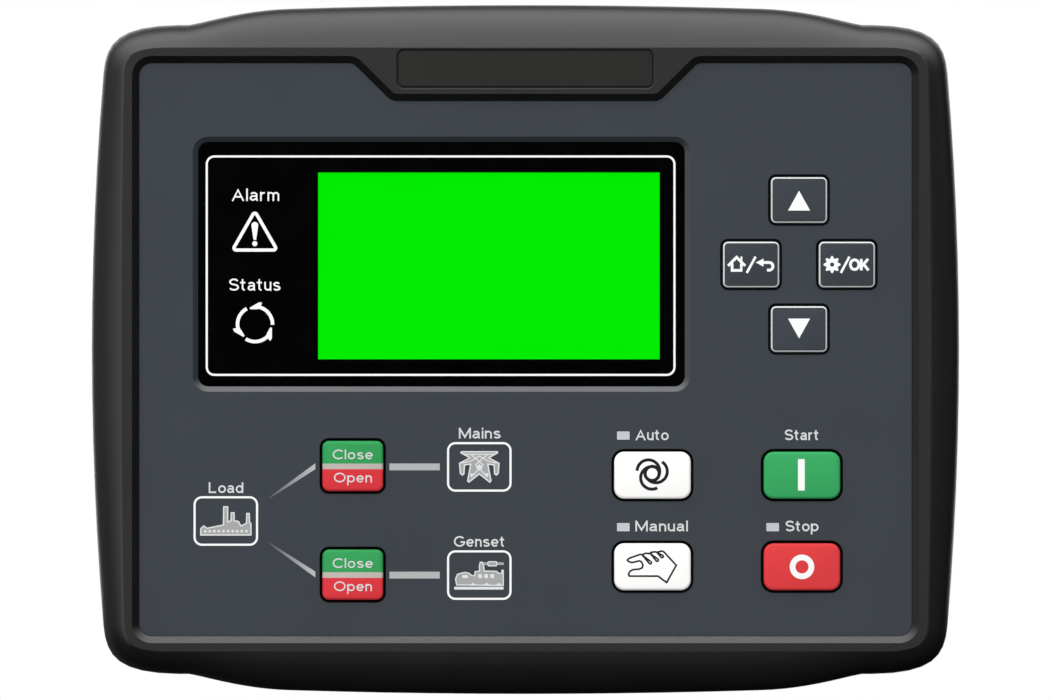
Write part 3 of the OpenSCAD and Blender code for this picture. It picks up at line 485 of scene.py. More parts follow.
# Finishes of the nodes inside the case, which keep their own meshes
INSIDE_FINISHES = (
    (frame_steel, ("lcd_frame",)),
    (backlight_white, ("lcd_backlight", "indicator_leds")),
    (light_guide, ("guide_alarm", "guide_status")),
    (solder_mask, ("display_board", "io_board")),
    (chip_black, ("processor", "board_socket")),
    (plain_brass, ("board_header", "board_spacers", "terminal_pins")),
    (zinc_steel, ("io_board_screws", "terminal_clamps")),
    (relay_blue, ("relay_mains", "relay_genset", "relay_fuel", "relay_crank")),
    (capacitor_sleeve, ("supply_capacitors",)),
    (copper_wire, ("supply_inductor",)),
)


# Dressed CAD pieces

def add_object(name, data):
    thing = bpy.data.objects.new(name, data)
    scene.collection.objects.link(thing)
    return thing


def mesh_of(shape, name):
    mesh = bpy.data.meshes.new(name)
    shape.to_mesh(mesh)
    shape.free()
    return mesh


def finish_piece(name, mesh, body, materials, nodes=()):
    """Puts a finished mesh in the scene on its body and in place of its nodes."""
    piece = add_object(name, mesh)
    for material in materials:
        mesh.materials.append(material)
    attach(piece, body)
    if nodes:
        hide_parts(*nodes)
    return piece


def welded(node):
    """A copy of a node's triangles as one closed mesh with flat faces joined."""
    shape = bmesh.new()
    shape.from_mesh(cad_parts[node].data)
    bmesh.ops.remove_doubles(shape, verts=shape.verts, dist=MERGE)
    bmesh.ops.dissolve_limit(shape, angle_limit=math.radians(FLAT_ANGLE), verts=shape.verts,
                             edges=shape.edges)
    return shape


def to_mesh(shape, name, smooth_angle=SMOOTH_ANGLE, creases=()):
    """A mesh that is smooth except at creases and where its faces meet at more than the angle."""
    for face in shape.faces:
        face.smooth = True
    for edge in shape.edges:
        edge.smooth = edge.calc_face_angle(math.pi) < math.radians(smooth_angle)
    for edge in creases:
        edge.smooth = False
    return mesh_of(shape, name)


def soften(piece, width_mm):
    """Small rounded edges that catch the light."""
    edge = piece.modifiers.new("soft_edges", "BEVEL")
    edge.width = width_mm * MM
    edge.segments = 2
    edge.limit_method = "ANGLE"
    edge.angle_limit = math.radians(SOFT_ANGLE)
    edge.harden_normals = True
    edge.use_clamp_overlap = True


def dress(node, body, material, edge_mm=0.0):
    mesh = to_mesh(welded(node), node + "_skin")
    piece = finish_piece(node + "_skin", mesh, body, [material], [node])
    if edge_mm:
        soften(piece, edge_mm)


def paint_node(node, material):
    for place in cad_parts[node].material_slots:
        place.material = material


def round_edges(shape, edges, width_mm, segments, clamp=True):
    """Rounds the edges and gives the new faces."""
    made = bmesh.ops.bevel(shape, geom=edges, offset=width_mm * MM, offset_type="OFFSET", affect="EDGES",
                           segments=segments, profile=0.5, material=-1, clamp_overlap=clamp)
    return made["faces"]


def cut(shape, place, direction):
    """Splits the faces where a plane meets them, and leaves both sides."""
    bmesh.ops.bisect_plane(shape, geom=shape.verts[:] + shape.edges[:] + shape.faces[:],
                           plane_co=place, plane_no=direction)


def at_depth(edge, depth):
    return all(abs(end.co.y - depth) < SAME_DEPTH for end in edge.verts)


def is_beside(edge, box):
    """True for an edge that lies at a node's box, seen from the front."""
    low, high = box
    return all(low[0] - HOLE_REACH < end.co.x < high[0] + HOLE_REACH
               and low[2] - HOLE_REACH < end.co.z < high[2] + HOLE_REACH for end in edge.verts)


def hole_edges(shape, front, boxes):
    """Edges where a front face goes down into the hole round one of the boxes."""
    return [edge for edge in shape.edges
            if at_depth(edge, front) and any(abs(face.normal.y) < WALL for face in edge.link_faces)
            and any(is_beside(edge, box) for box in boxes)]


def front_creases(shape):
    """Edges that bound the flat front faces."""
    return [edge for edge in shape.edges if sum(face.normal.y < FLAT_FRONT for face in edge.link_faces) == 1]


def is_chamfer(face, front, back):
    """True for a face that slopes inwards from the bezel's rim to the fascia."""
    middle = face.calc_center_median()
    inward = face.normal.x * middle.x + face.normal.z * middle.z < 0
    return inward and front < middle.y < back and NEARLY_FRONT < face.normal.y < -WALL


def is_rim_side(edge, front):
    """True for an outer edge of the front rim at its left or right side."""
    if len(edge.link_faces) != 2 or not at_depth(edge, front):
        return False
    rim, skin = sorted(edge.link_faces, key=lambda face: face.normal.y)
    outward = skin.normal.x * edge.verts[0].co.x > 0
    at_side = abs(skin.normal.x) > abs(skin.normal.z)
    return rim.normal.y < FLAT_FRONT < skin.normal.y and outward and at_side


def make_bezel():
    """The moulded frame, with a polished chamfer down to the fascia."""
    shape = welded("front_bezel")
    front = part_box("front_bezel")[0][1]
    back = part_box("fascia")[0][1]
    chamfer = [face for face in shape.faces if is_chamfer(face, front, back)]
    for face in chamfer:
        face.material_index = 1
    # The chamfer ends a little before the fascia, at a fine dark step
    foot = {end for face in chamfer for end in face.verts if end.co.y > back - SAME_DEPTH}
    bmesh.ops.translate(shape, verts=list(foot), vec=(0, -CHAMFER_STEP * MM, 0))
    round_edges(shape, hole_edges(shape, front, [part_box("name_plate")]), RECESS_ROUNDING, 2)
    sides = [edge for edge in shape.edges if is_rim_side(edge, front)]
    round_edges(shape, sides, RIM_ROUNDING, 3)
    mesh = to_mesh(shape, "front_bezel_skin", creases=front_creases(shape))
    finishes = [bezel_black, bezel_polished]
    finish_piece("front_bezel_skin", mesh, "controller", finishes, ["front_bezel"])
    dress("name_plate", "controller", plate_dark, PLATE_EDGE)


def make_fascia():
    """Slate face, a polished chamfer in darker slate as painted shade, key holes painted black as shade."""
    shape = welded("fascia")
    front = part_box("fascia")[0][1]
    for face in shape.faces:
        if abs(face.normal.y) < WALL:
            # Hole walls are painted black as shade in the gaps round the keys
            face.material_index = 2
        elif face.normal.y > NEARLY_FRONT:
            # The chamfer is painted a darker slate as shade
            face.material_index = 1
    holes = hole_edges(shape, front, [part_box(node) for node in KEY_BODIES])
    # The steeper rings of each rounded hole edge are painted black, a shaded rim to the gap
    for face in round_edges(shape, holes, HOLE_ROUNDING, 4, clamp=False):
        face.material_index = 2 if face.normal.y > -FACING else 0
    mesh = to_mesh(shape, "fascia_skin", creases=front_creases(shape))
    finishes = [fascia_slate, slate_polished_shade, painted_gap_shade]
    finish_piece("fascia_skin", mesh, "controller", finishes, ["fascia"])
    for name in ("auto", "manual", "stop"):
        dress("indicator_" + name, "controller", light_guide, GUIDE_EDGE)


def make_window():
    """The lens: black print all round, clear over the screen."""
    low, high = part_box("lcd_frame")
    border = PANE_BORDER * MM
    left, right = low[0] + border, high[0] - border
    bottom, top = low[2] + border, high[2] - border - PANE_TOP * MM
    shape = welded("display_window")
    for x in (left, right):
        cut(shape, (x, 0, 0), (1, 0, 0))
    for z in (bottom, top):
        cut(shape, (0, 0, z), (0, 0, 1))
    for face in shape.faces:
        middle = face.calc_center_median()
        if left < middle.x < right and bottom < middle.z < top and abs(face.normal.y) > FACING:
            face.material_index = 1
    mesh = to_mesh(shape, "window_lens")
    finishes = [lens_black, pane_clear]
    finish_piece("window_lens", mesh, "controller", finishes, ["display_window"])
    paint_node("lcd_glass", screen_glow)


def make_nav_key(node):
    """Slate cap whose rounded shoulder carries a light painted line."""
    shape = welded(node)
    shoulder_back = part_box(node)[0][1] + LINE_DEPTH * MM
    for face in shape.faces:
        if face.calc_center_median().y < shoulder_back and LINE_STEEP < -face.normal.y < LINE_FLAT:
            face.material_index = 1
    mesh = to_mesh(shape, node + "_cap", KEY_SMOOTH)
    finish_piece(node + "_cap", mesh, KEY_BODIES[node], [key_slate, key_line], [node])


def make_colour_key(node, material):
    """Coloured cap whose skirt, from the panel's face back, is painted black as shade."""
    shape = welded(node)
    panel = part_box("fascia")[0][1] + SKIRT_DROP * MM
    cut(shape, (0, panel, 0), (0, 1, 0))
    # Faces behind the panel's face are painted black as shade in the key's gap
    for face in shape.faces:
        if face.calc_center_median().y > panel:
            face.material_index = 1
    mesh = to_mesh(shape, node + "_cap", KEY_SMOOTH)
    finish_piece(node + "_cap", mesh, KEY_BODIES[node], [material, painted_gap_shade], [node])


def make_keys():
    for node in NAV_KEYS:
        make_nav_key(node)
    make_colour_key("key_auto", key_white)
    make_colour_key("key_manual", key_white)
    make_colour_key("key_start", key_green)
    make_colour_key("key_stop", key_red)
    for node in BREAKER_KEYS:
        low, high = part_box(node)
        make_colour_key(node, breaker_cap(node + "_colours", (low[2] + high[2]) / 2))


def key_centre(node):
    """Middle of a key as seen from the front, in millimetres."""
    low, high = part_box(node)
    return ((low[0] + high[0]) / 2 / MM, (low[2] + high[2]) / 2 / MM)


def make_dome(node, x, z, board):
    """Hollow rubber dome with its contact, spun from its profile."""
    shape = bmesh.new()
    line = [shape.verts.new((x + radius * MM, board - height * MM, z)) for radius, height in DOME_LINE]
    edges = [shape.edges.new(ends) for ends in zip(line, line[1:])]
    bmesh.ops.spin(shape, geom=line + edges, cent=(x, 0, z), axis=(0, 1, 0), angle=math.tau,
                   steps=DOME_STEPS, use_merge=True)
    bmesh.ops.remove_doubles(shape, verts=shape.verts, dist=1e-6)
    bmesh.ops.recalc_face_normals(shape, faces=shape.faces)
    mesh = to_mesh(shape, node + "_dome")
    dome = finish_piece(node + "_dome", mesh, "controller", [keypad_rubber], ["keypad_mat"])
    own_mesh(dome)


def open_dome_hole(sheet, x, z, board):
    """Takes a dome's faces out of the sheet and closes the wall of its round hole."""
    def radius(end):
        return math.hypot(end.co.x - x, end.co.z - z)

    inside = {end for end in sheet.verts if radius(end) < (DOME_FOOT + DOME_SLACK) * MM}
    dome = [face for face in sheet.faces if inside.issuperset(face.verts)]
    bmesh.ops.delete(sheet, geom=dome, context="FACES")
    rim = [edge for edge in sheet.edges if len(edge.link_faces) == 1]
    back = {end for edge in rim for end in edge.verts if end.co.y > board - SAME_DEPTH}
    grow = DOME_FOOT * MM / max(radius(end) for end in back)
    bmesh.ops.scale(sheet, verts=list(back), vec=(grow, 1, grow), space=Matrix.Translation((-x, 0, -z)))
    bmesh.ops.bridge_loops(sheet, edges=rim)


def make_keypad():
    """Rubber sheet with a round hole at each key, where that key's dome sits."""
    sheet = welded("keypad_mat")
    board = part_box("keypad_mat")[1][1]
    for node in KEY_BODIES:
        x, z = (place * MM for place in key_centre(node))
        open_dome_hole(sheet, x, z, board)
        make_dome(node, x, z, board)
    bmesh.ops.recalc_face_normals(sheet, faces=sheet.faces)
    mesh = to_mesh(sheet, "keypad_sheet")
    finish_piece("keypad_sheet", mesh, "controller", [keypad_rubber], ["keypad_mat"])


def depth_of(face):
    across = [corner.co.y for corner in face.verts]
    return max(across) - min(across)


def is_case_edge(edge):
    """True for an edge between the case's rear face and one of its outer walls."""
    faces = edge.link_faces
    if len(faces) != 2 or not edge.is_convex:
        return False
    return max(face.normal.y for face in faces) > FLAT_REAR and max(map(depth_of, faces)) > CASE_WALL * MM


def make_rear_housing():
    """The case, with its outer rear edges rounded as they leave the mould."""
    shape = welded("rear_housing")
    round_edges(shape, [edge for edge in shape.edges if is_case_edge(edge)], CASE_ROUNDING, 3)
    mesh = to_mesh(shape, "rear_housing_skin", CASE_SMOOTH)
    case = finish_piece("rear_housing_skin", mesh, "controller", [housing_black],
                        ["rear_housing"])
    flats = case.modifiers.new("flat_faces", "WEIGHTED_NORMAL")
    flats.keep_sharp = True


def make_rear():
    dress("panel_gasket", "controller", gasket_rubber, GASKET_EDGE)
    for corner in CORNERS:
        dress("clip_" + corner, "controller", zinc_steel, CLIP_EDGE)
        dress("screw_" + corner, "clamp_screw_" + corner, zinc_steel, SCREW_EDGE)
    for row in ("supply", "sensor", "voltage", "current"):
        dress(row + "_plug", "controller", terminal_green)
        dress(row + "_header", "controller", header_green)
    dress("case_screws", "controller", zinc_steel)
    dress("terminal_screws", "controller", zinc_steel)
    dress("link_port", "controller", port_grey)


def make_inside():
    for material, nodes in INSIDE_FINISHES:
        for node in nodes:
            paint_node(node, material)


# Printed signs: outlines are in millimetres, x to the right and z up

def bow(x, z, wide, tall, start, end, steps=14):
    turn = [math.radians(start + (end - start) * i / steps) for i in range(steps + 1)]
    return [(x + wide * math.cos(a), z + tall * math.sin(a)) for a in turn]


def arc(x, z, radius, start, end, steps=16):
    return bow(x, z, radius, radius, start, end, steps)


def ring(x, z, wide, tall):
    return bow(x, z, wide, tall, 0, 360, RING_STEPS)[:-1]


def disc(x, z, radius, steps=40):
    return arc(x, z, radius, 0, 360 - 360 / steps, steps - 1)


def rounded_box(x, z, width, height, radius):
    reach_x, reach_z = width / 2 - radius, height / 2 - radius
    return (arc(x + reach_x, z + reach_z, radius, 0, 90, 8)
            + arc(x - reach_x, z + reach_z, radius, 90, 180, 8)
            + arc(x - reach_x, z - reach_z, radius, 180, 270, 8)
            + arc(x + reach_x, z - reach_z, radius, 270, 360, 8))


def beside(points, distance, closed):
    """The same line moved sideways, with mitred corners."""
    count = len(points)
    moved = []
    for i, (x, z) in enumerate(points):
        normals = []
        for j, k in ((i - 1, i), (i, i + 1)):
            if closed or (j >= 0 and k < count):
                (ax, az), (bx, bz) = points[j % count], points[k % count]
                length = math.hypot(bx - ax, bz - az)
                if length > 1e-6:
                    normals.append(((az - bz) / length, (bx - ax) / length))
        nx = sum(n[0] for n in normals) / len(normals)
        nz = sum(n[1] for n in normals) / len(normals)
        size = max(nx * nx + nz * nz, 0.25)
        moved.append((x + nx / size * distance, z + nz / size * distance))
    return moved


def stroke(points, width):
    return [beside(points, width / 2, False) + beside(points, -width / 2, False)[::-1]]


def outline(points, width):
    return [beside(points, width / 2, True), beside(points, -width / 2, True)]


def frame_line(x, z, width, height, radius, line):
    return [rounded_box(x, z, width, height, radius),
            rounded_box(x, z, width - 2 * line, height - 2 * line, radius - line)]


def turned(points, angle):
    c, s = math.cos(math.radians(angle)), math.sin(math.radians(angle))
    return [(x * c - z * s, x * s + z * c) for x, z in points]


def mirrored(points):
    """The right half of an outline, from top to bottom, with its left half."""
    return points + [(-x, z) for x, z in reversed(points) if x > 0]


def filled(loops):
    """The area between the loops as a flat mesh of film thickness."""
    curve = bpy.data.curves.new("sign", "CURVE")
    curve.dimensions = "2D"
    curve.fill_mode = "BOTH"
    curve.extrude = FILM / 2
    for loop in loops:
        line = curve.splines.new("POLY")
        line.points.add(len(loop) - 1)
        for point, (x, z) in zip(line.points, loop):
            point.co = (x, z, 0.0, 1.0)
        line.use_cyclic_u = True
    holder = add_object("outline", curve)
    bpy.context.view_layer.update()
    mesh = bpy.data.meshes.new_from_object(holder.evaluated_get(bpy.context.evaluated_depsgraph_get()))
    bpy.data.objects.remove(holder)
    bpy.data.curves.remove(curve)
    return mesh


def shifted(shapes, x, z):
    for mesh in shapes:
        mesh.transform(Matrix.Translation((x, z, 0)))
    return shapes


# Centre lines of plain upright letters, with capitals one unit tall; a ring closes on itself
LETTERS = {
    "A": ([(0.07, 0), (0.43, 0.88), (0.79, 0)], [(0.2, 0.33), (0.66, 0.33)]),
    "C": (bow(0.48, 0.5, 0.4, 0.42, 42, 318, 24),),
    "G": (bow(0.48, 0.5, 0.4, 0.42, 42, 335, 24) + [(0.85, 0.44), (0.54, 0.44)],),
    "K": ([(0.08, 0), (0.08, 1)], [(0.72, 1), (0.12, 0.36)], [(0.3, 0.55), (0.76, 0)]),
    "L": ([(0.08, 1), (0.08, 0.08), (0.6, 0.08)],),
    "M": ([(0.08, 0), (0.08, 1)], [(0.84, 0), (0.84, 1)], [(0.1, 0.9), (0.46, 0.14), (0.82, 0.9)]),
    "O": (ring(0.48, 0.5, 0.4, 0.42),),
    "S": (bow(0.38, 0.715, 0.28, 0.205, 20, 255) + bow(0.38, 0.29, 0.3, 0.21, 75, -160),),
    "a": (bow(0.29, 0.5, 0.19, 0.15, 160, 0) + [(0.48, 0.14), (0.53, 0.02)],
          [(0.48, 0.42)] + bow(0.255, 0.235, 0.175, 0.155, 80, 280) + [(0.48, 0.22)]),
    "d": (ring(0.31, 0.365, 0.23, 0.285), [(0.55, 0), (0.55, 1)]),
    "e": (bow(0.32, 0.365, 0.24, 0.285, 0, 318, 24), [(0.08, 0.365), (0.56, 0.365)]),
    "i": ([(0.08, 0), (0.08, 0.73)], [(0.08, 0.84), (0.08, 1)]),
    "l": ([(0.08, 0), (0.08, 1)],),
    "m": ([(0.08, 0), (0.08, 0.73)],
          [(0.08, 0.42)] + bow(0.245, 0.49, 0.165, 0.16, 180, 0) + [(0.41, 0)],
          [(0.41, 0.42)] + bow(0.575, 0.49, 0.165, 0.16, 180, 0) + [(0.74, 0)]),
    "n": ([(0.08, 0), (0.08, 0.73)], [(0.08, 0.4)] + bow(0.275, 0.45, 0.195, 0.2, 180, 0) + [(0.47, 0)]),
    "o": (ring(0.32, 0.365, 0.24, 0.285),),
    "p": ([(0.08, -0.28), (0.08, 0.73)], ring(0.33, 0.365, 0.24, 0.285)),
    "r": ([(0.08, 0), (0.08, 0.73)], [(0.08, 0.36)] + bow(0.28, 0.42, 0.2, 0.23, 180, 75)),
    "s": (bow(0.29, 0.525, 0.19, 0.125, 25, 255) + bow(0.29, 0.22, 0.21, 0.14, 75, -155),),
    "t": ([(0.17, 0.93)] + bow(0.31, 0.23, 0.14, 0.15, 180, 280), [(0, 0.66), (0.36, 0.66)]),
    "u": ([(0.08, 0.73)] + bow(0.275, 0.275, 0.195, 0.195, 180, 360) + [(0.47, 0.4)],
          [(0.47, 0.73), (0.47, 0)]),
}
ROUND_LETTERS = ("O", "d", "o", "p")


def word(text, left, right, baseline, cap, weight):
    """A word drawn between left and right, with the given height of capitals."""
    lines = []
    start = 0.0
    for letter in text:
        for points in LETTERS[letter]:
            closed = letter in ROUND_LETTERS and len(points) == RING_STEPS
            lines.append(([(start + x, z) for x, z in points], closed))
        start += max(x for points in LETTERS[letter] for x, z in points) + LETTER_GAP
    reach = [x for points, closed in lines for x, z in points]
    line = weight * cap
    wide = (right - left - line) / (max(reach) - min(reach))
    shapes = []
    for points, closed in lines:
        drawn = [(left + line / 2 + (x - min(reach)) * wide, baseline + z * cap) for x, z in points]
        shapes.append(filled(outline(drawn, line) if closed else stroke(drawn, line)))
    return shapes


def words(table, cap, weight):
    shapes = []
    for text, left, right, baseline in table:
        shapes += word(text, left, right, baseline, cap, weight)
    return shapes


def print_on(name, body, material, face, shapes, at=(0.0, 0.0), lift=FILM_LIFT):
    """Joins flat signs into one film on the face at depth face, moved to at."""
    film = bmesh.new()
    for i, mesh in enumerate(shapes):
        sign = bmesh.new()
        sign.from_mesh(mesh)
        bmesh.ops.remove_doubles(sign, verts=sign.verts, dist=1e-4)
        bmesh.ops.recalc_face_normals(sign, faces=sign.faces)
        # Crossing lines lie a hair above one another
        bmesh.ops.translate(sign, verts=sign.verts, vec=(0, 0, (i % FILM_LEVELS) * FILM_STEP))
        sign.to_mesh(mesh)
        sign.free()
        film.from_mesh(mesh)
        bpy.data.meshes.remove(mesh)
    upright = Matrix.Rotation(math.radians(90), 4, "X")
    place = Matrix.Translation((at[0], face / MM - lift, at[1]))
    bmesh.ops.transform(film, verts=film.verts, matrix=place @ upright)
    bmesh.ops.scale(film, verts=film.verts, vec=(MM, MM, MM))
    finish_piece(name, mesh_of(film, name), body, [material])


# Pictograms on the keys

UP_MARK = [(0, 2.24), (-2.65, -2.53), (2.65, -2.53)]
DOWN_MARK = [(0, -2.24), (2.65, 2.53), (-2.65, 2.53)]
HAND = [(-5.57, -2.22), (-5.76, -1.74), (-5.42, -1.06), (-4.65, -0.65), (-3.16, -0.53), (-2.48, -0.24),
        (-2.29, 0.39), (-2.63, 1.2), (-3.11, 1.45), (-3.83, 1.3), (-4.89, 1.04), (-5.71, 1.25),
        (-6.05, 1.61), (-5.66, 2.05), (-2.92, 3.01), (-2.48, 2.89), (-1.66, 3.28), (-0.8, 3.2),
        (-0.22, 3.52), (0.51, 3.61), (1.13, 3.52), (2.14, 3.81), (2.72, 3.61), (5.71, 0.39),
        (3.4, -3.76), (1.33, -2.22)]
# Folded fingers, each from its knuckle to its tip
FINGERS = (((-2.48, 2.85), (-0.55, 1.0)), ((-0.51, 3.2), (1.1, 1.65)), ((1.06, 3.45), (2.3, 2.52)))


def slash(low_x, high_x):
    return filled(stroke([(low_x, -2.0), (high_x, 1.9)], 0.58))


def house():
    roof = stroke([(-5.55, -0.3), (-3.5, 1.75), (-1.45, -0.3)], 0.66)
    walls = [(-4.9, 0.3), (-4.9, -1.72), (-2.1, -1.72), (-2.1, 0.3), (-2.67, 0.3), (-2.67, -1.07),
             (-4.27, -1.07), (-4.27, 0.3)]
    chimney = [(-2.55, 0.7), (-2.12, 0.4), (-2.12, 1.95), (-2.55, 1.95)]
    return [filled(roof), filled([walls]), filled([chimney])]


def back_arrow():
    head = [(1.11, 0.5), (2.96, 1.45), (2.96, -0.5)]
    shaft = [(2.9, 0.5)] + arc(4.3, -0.42, 0.92, 90, -90) + [(3.8, -1.34)]
    return [filled([head]), filled(stroke(shaft, 0.68))]


def gear():
    middle, radius, tooth, teeth, steps = -3.57, 1.76, 0.32, 8, 96
    rim = []
    for i in range(steps):
        a = 2 * math.pi * i / steps
        r = radius + tooth * math.cos(teeth * a)
        rim.append((middle + r * math.cos(a), r * math.sin(a)))
    return [filled([rim, disc(middle, 0, 0.5, 20)])]


def swirl():
    """Ring with three curved arms."""
    x, z = -0.09, 0.43
    shapes = [filled([disc(x, z, 2.1), disc(x, z, 1.3)])]
    for way in (148, 28, 268):
        cx = x + 1.05 * math.cos(math.radians(way))
        cz = z + 1.05 * math.sin(math.radians(way))
        shapes.append(filled(stroke(arc(cx, cz, 2.72, way + 30, way - 168, 28), 0.74)))
    return shapes


def pointing_hand():
    shapes = [filled(outline(HAND, 0.42))]
    for knuckle, tip in FINGERS:
        ahead = math.degrees(math.atan2(tip[1] - knuckle[1], tip[0] - knuckle[0]))
        nail = arc(*tip, 0.3, ahead - 110, ahead + 110)
        shapes += [filled(stroke([knuckle] + nail, 0.4)), filled(stroke([nail[-1], knuckle], 0.4))]
    return shapes


# Pictograms in the mimic diagram and the window

FACTORY = [(-6.19, -3.52), (6.19, -3.52), (6.19, -0.58), (5.86, -0.29), (5.78, 1.95), (4.89, 1.95),
           (4.82, -0.46), (3.69, -1.01), (3.13, 0.02), (2.17, 0.19), (2.12, 2.12), (1.16, 2.12), (1.08, 0.14),
           (0.6, 0.02), (0.6, 3.57), (-0.65, 3.57), (-0.72, -0.82), (-4.46, -1.59), (-5.3, -0.99),
           (-6.15, -1.74)]
PYLON = mirrored([(4.41, 3.78), (4.58, 3.3), (2.53, 2.17), (4.89, 0.96), (4.7, -1.64), (4.1, -2.17),
                  (3.54, -1.76), (3.42, 0.36), (2.24, 0.48), (2.96, -3.4), (2.53, -3.88), (0, -1.88)])
PYLON_BRACES = ([(-3.6, 3.0), (3.6, 3.0)],
                [(-1.9, 2.9), (0.9, 0.5), (-1.9, -2.4)],
                [(1.9, 2.9), (-0.9, 0.5), (1.9, -2.4)],
                [(-4.2, 0.9), (-2.0, 1.4), (0, 2.6), (2.0, 1.4), (4.2, 0.9)])
PYLON_SPOTS = ([(0, 0.75), (0.85, -0.2), (0, -1.0), (-0.85, -0.2)],
               [(1.1, -1.7), (2.1, -1.5), (2.2, -2.4)],
               [(-1.1, -1.7), (-2.2, -2.4), (-2.1, -1.5)])
ENGINE = [(5.9, -2.63), (-5.54, -2.51), (-5.86, -0.94), (-5.37, 0.27), (-4.46, 0.58), (-3.49, 0.8),
          (-2.41, 0.58), (-1.76, 0.02), (-1.2, 0.02), (-1.16, 0.92), (-0.07, 1.11), (-0.12, 2.19),
          (0.12, 3.23), (0.8, 3.23), (1.2, 2.31), (1.28, 1.11), (4.17, 1.06), (4.75, 0.53), (5.25, 0.58),
          (5.33, 1.3), (5.9, 1.3)]
BRANCHES = ([(-61.7, -35.55), (-61.55, -35.85), (-50.5, -28.75), (-50.5, -27.35)],
            [(-61.7, -46.65), (-61.55, -46.35), (-50.5, -53.35), (-50.5, -54.75)])
# Head of a turning arrow, as radius and angle
ARROW_HEAD = ((5.45, 72), (5.3, 80), (4.15, 108), (3.75, 108), (3.6, 84), (3.9, 72))


def factory_lines():
    windows = [filled([rounded_box(-4.95 + 1.1 * i, -2.46, 0.6, 0.62, 0.15)]) for i in range(10)]
    return [filled(outline(beside(FACTORY, 0.16, True), 0.3))] + windows


def pylon_lines():
    edge = [filled(outline(beside(PYLON, -0.16, True), 0.32))]
    braces = [filled(stroke(line, 0.26)) for line in PYLON_BRACES]
    return edge + braces + [filled([spot]) for spot in PYLON_SPOTS]


def engine_lines():
    shapes = [filled([rounded_box(-0.1, -3.13, 11.9, 0.7, 0.2)]),
              filled([rounded_box(-3.4, -0.35, 1.5, 0.75, 0.35)])]
    shapes += [filled([rounded_box(x, -0.25, 0.9, 1.0, 0.2)]) for x in (0.2, 1.65, 3.1)]
    shapes += [filled([[(x - 0.9, -2.45), (x + 0.9, -2.45), (x, -1.85)]]) for x in (-1.5, 1.8, 4.7)]
    shapes.append(filled(outline(beside(ENGINE, -0.15, True), 0.28)))
    shapes.append(filled(frame_line(3.13, 2.72, 2.4, 1.25, 0.4, 0.26)))
    return shapes


def engine():
    muffler = filled([rounded_box(3.13, 2.72, 2.4, 1.25, 0.4)])
    pipe = filled([rounded_box(3.3, 2.75, 5.2, 0.66, 0.2)])
    return [filled([ENGINE]), muffler, pipe]


def alarm_sign():
    corners = (arc(0, 4.15, 0.5, 150, 30, 6) + arc(4.5, -3.7, 0.5, 30, -90, 6)
               + arc(-4.5, -3.7, 0.5, 270, 150, 6))
    bar = arc(0, 1.75, 0.82, 180, 0, 12) + [(0.32, -1.75), (-0.32, -1.75)]
    return [filled(outline(corners, 0.78)), filled([bar]), filled([disc(0, -2.65, 0.62, 24)])]


def turning_arrows():
    head = [(r * math.cos(math.radians(a)), r * math.sin(math.radians(a))) for r, a in ARROW_HEAD]
    shapes = []
    for turn in (0, 120, 240):
        shapes.append(filled(stroke(turned(arc(0, 0, 4.2, -2, 80, 20), turn), 0.84)))
        shapes.append(filled([turned(head, turn)]))
    return shapes


# Print on keys, panel and window

def print_key(node, material, shapes):
    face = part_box(node)[0][1]
    print_on(node + "_sign", KEY_BODIES[node], material, face, shapes, key_centre(node))


def make_key_signs():
    print_key("key_up", white_ink, [filled([UP_MARK])])
    print_key("key_down", white_ink, [filled([DOWN_MARK])])
    print_key("key_home", white_ink, house() + back_arrow() + [slash(-1.06, 1.05)])
    letters = words(NAV_WORDS, NAV_CAP, NAV_WEIGHT)
    print_key("key_ok", white_ink, gear() + [slash(-1.47, 0.6)] + letters)
    print_key("key_auto", black_ink, swirl())
    print_key("key_manual", black_ink, pointing_hand())
    print_key("key_start", white_ink, [filled([rounded_box(-0.15, 0.1, 1.62, 7.55, 0.15)])])
    print_key("key_stop", white_ink, [filled([disc(0, 0, 2.95), disc(0, 0, 1.58)])])
    for node in BREAKER_KEYS:
        print_key(node, word_ink, words(BREAKER_WORDS, BREAKER_CAP, BREAKER_WEIGHT))


def make_panel_signs():
    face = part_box("fascia")[0][1]
    labels = words(PANEL_WORDS, PANEL_CAP, PANEL_WEIGHT)
    print_on("panel_words", "controller", word_ink, face, labels)
    boxes = [filled(frame_line(*place, *BOX)) for place in (LOAD_AT, MAINS_AT, GENSET_AT)]
    print_on("mimic_boxes", "controller", white_ink, face, boxes)
    bars = [filled([rounded_box(BAR_X, z, BAR_LENGTH, BAR_LINE, 0.05)]) for z in (MAINS_AT[1], GENSET_AT[1])]
    print_on("mimic_bars", "controller", grey_ink, face, bars)
    branches = [filled([branch]) for branch in BRANCHES]
    print_on("mimic_branches", "controller", branch_ink, face, branches)
    icons = (shifted([filled([FACTORY])], *LOAD_AT) + shifted([filled([PYLON])], *MAINS_AT)
             + shifted(engine(), *GENSET_AT))
    print_on("mimic_icons", "controller", icon_ink, face, icons)
    lines = (shifted(factory_lines(), *LOAD_AT) + shifted(pylon_lines(), *MAINS_AT)
             + shifted(engine_lines(), *GENSET_AT))
    print_on("mimic_icon_lines", "controller", icon_light, face, lines, lift=ICON_LIFT)


def make_window_signs():
    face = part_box("display_window")[0][1]
    border = [filled(frame_line(*WINDOW_BORDER))]
    labels = words(WINDOW_WORDS, WINDOW_CAP, WINDOW_WEIGHT)
    signs = shifted(alarm_sign(), *ALARM_AT) + shifted(turning_arrows(), *STATUS_AT)
    print_on("window_print", "controller", white_ink, face, border + labels + signs)


# Stage

def make_camera():
    data = bpy.data.cameras.new("front_camera")
    data.lens = LENS
    data.sensor_width = SENSOR
    data.clip_end = CAMERA_REACH
    camera = add_object("front_camera", data)
    distance = VIEW_WIDTH * LENS / SENSOR
    camera.location = (CAMERA_SHIFT, SILHOUETTE_DEPTH - distance, CAMERA_SHIFT)
    camera.rotation_euler = (math.radians(90), 0, 0)
    scene.camera = camera


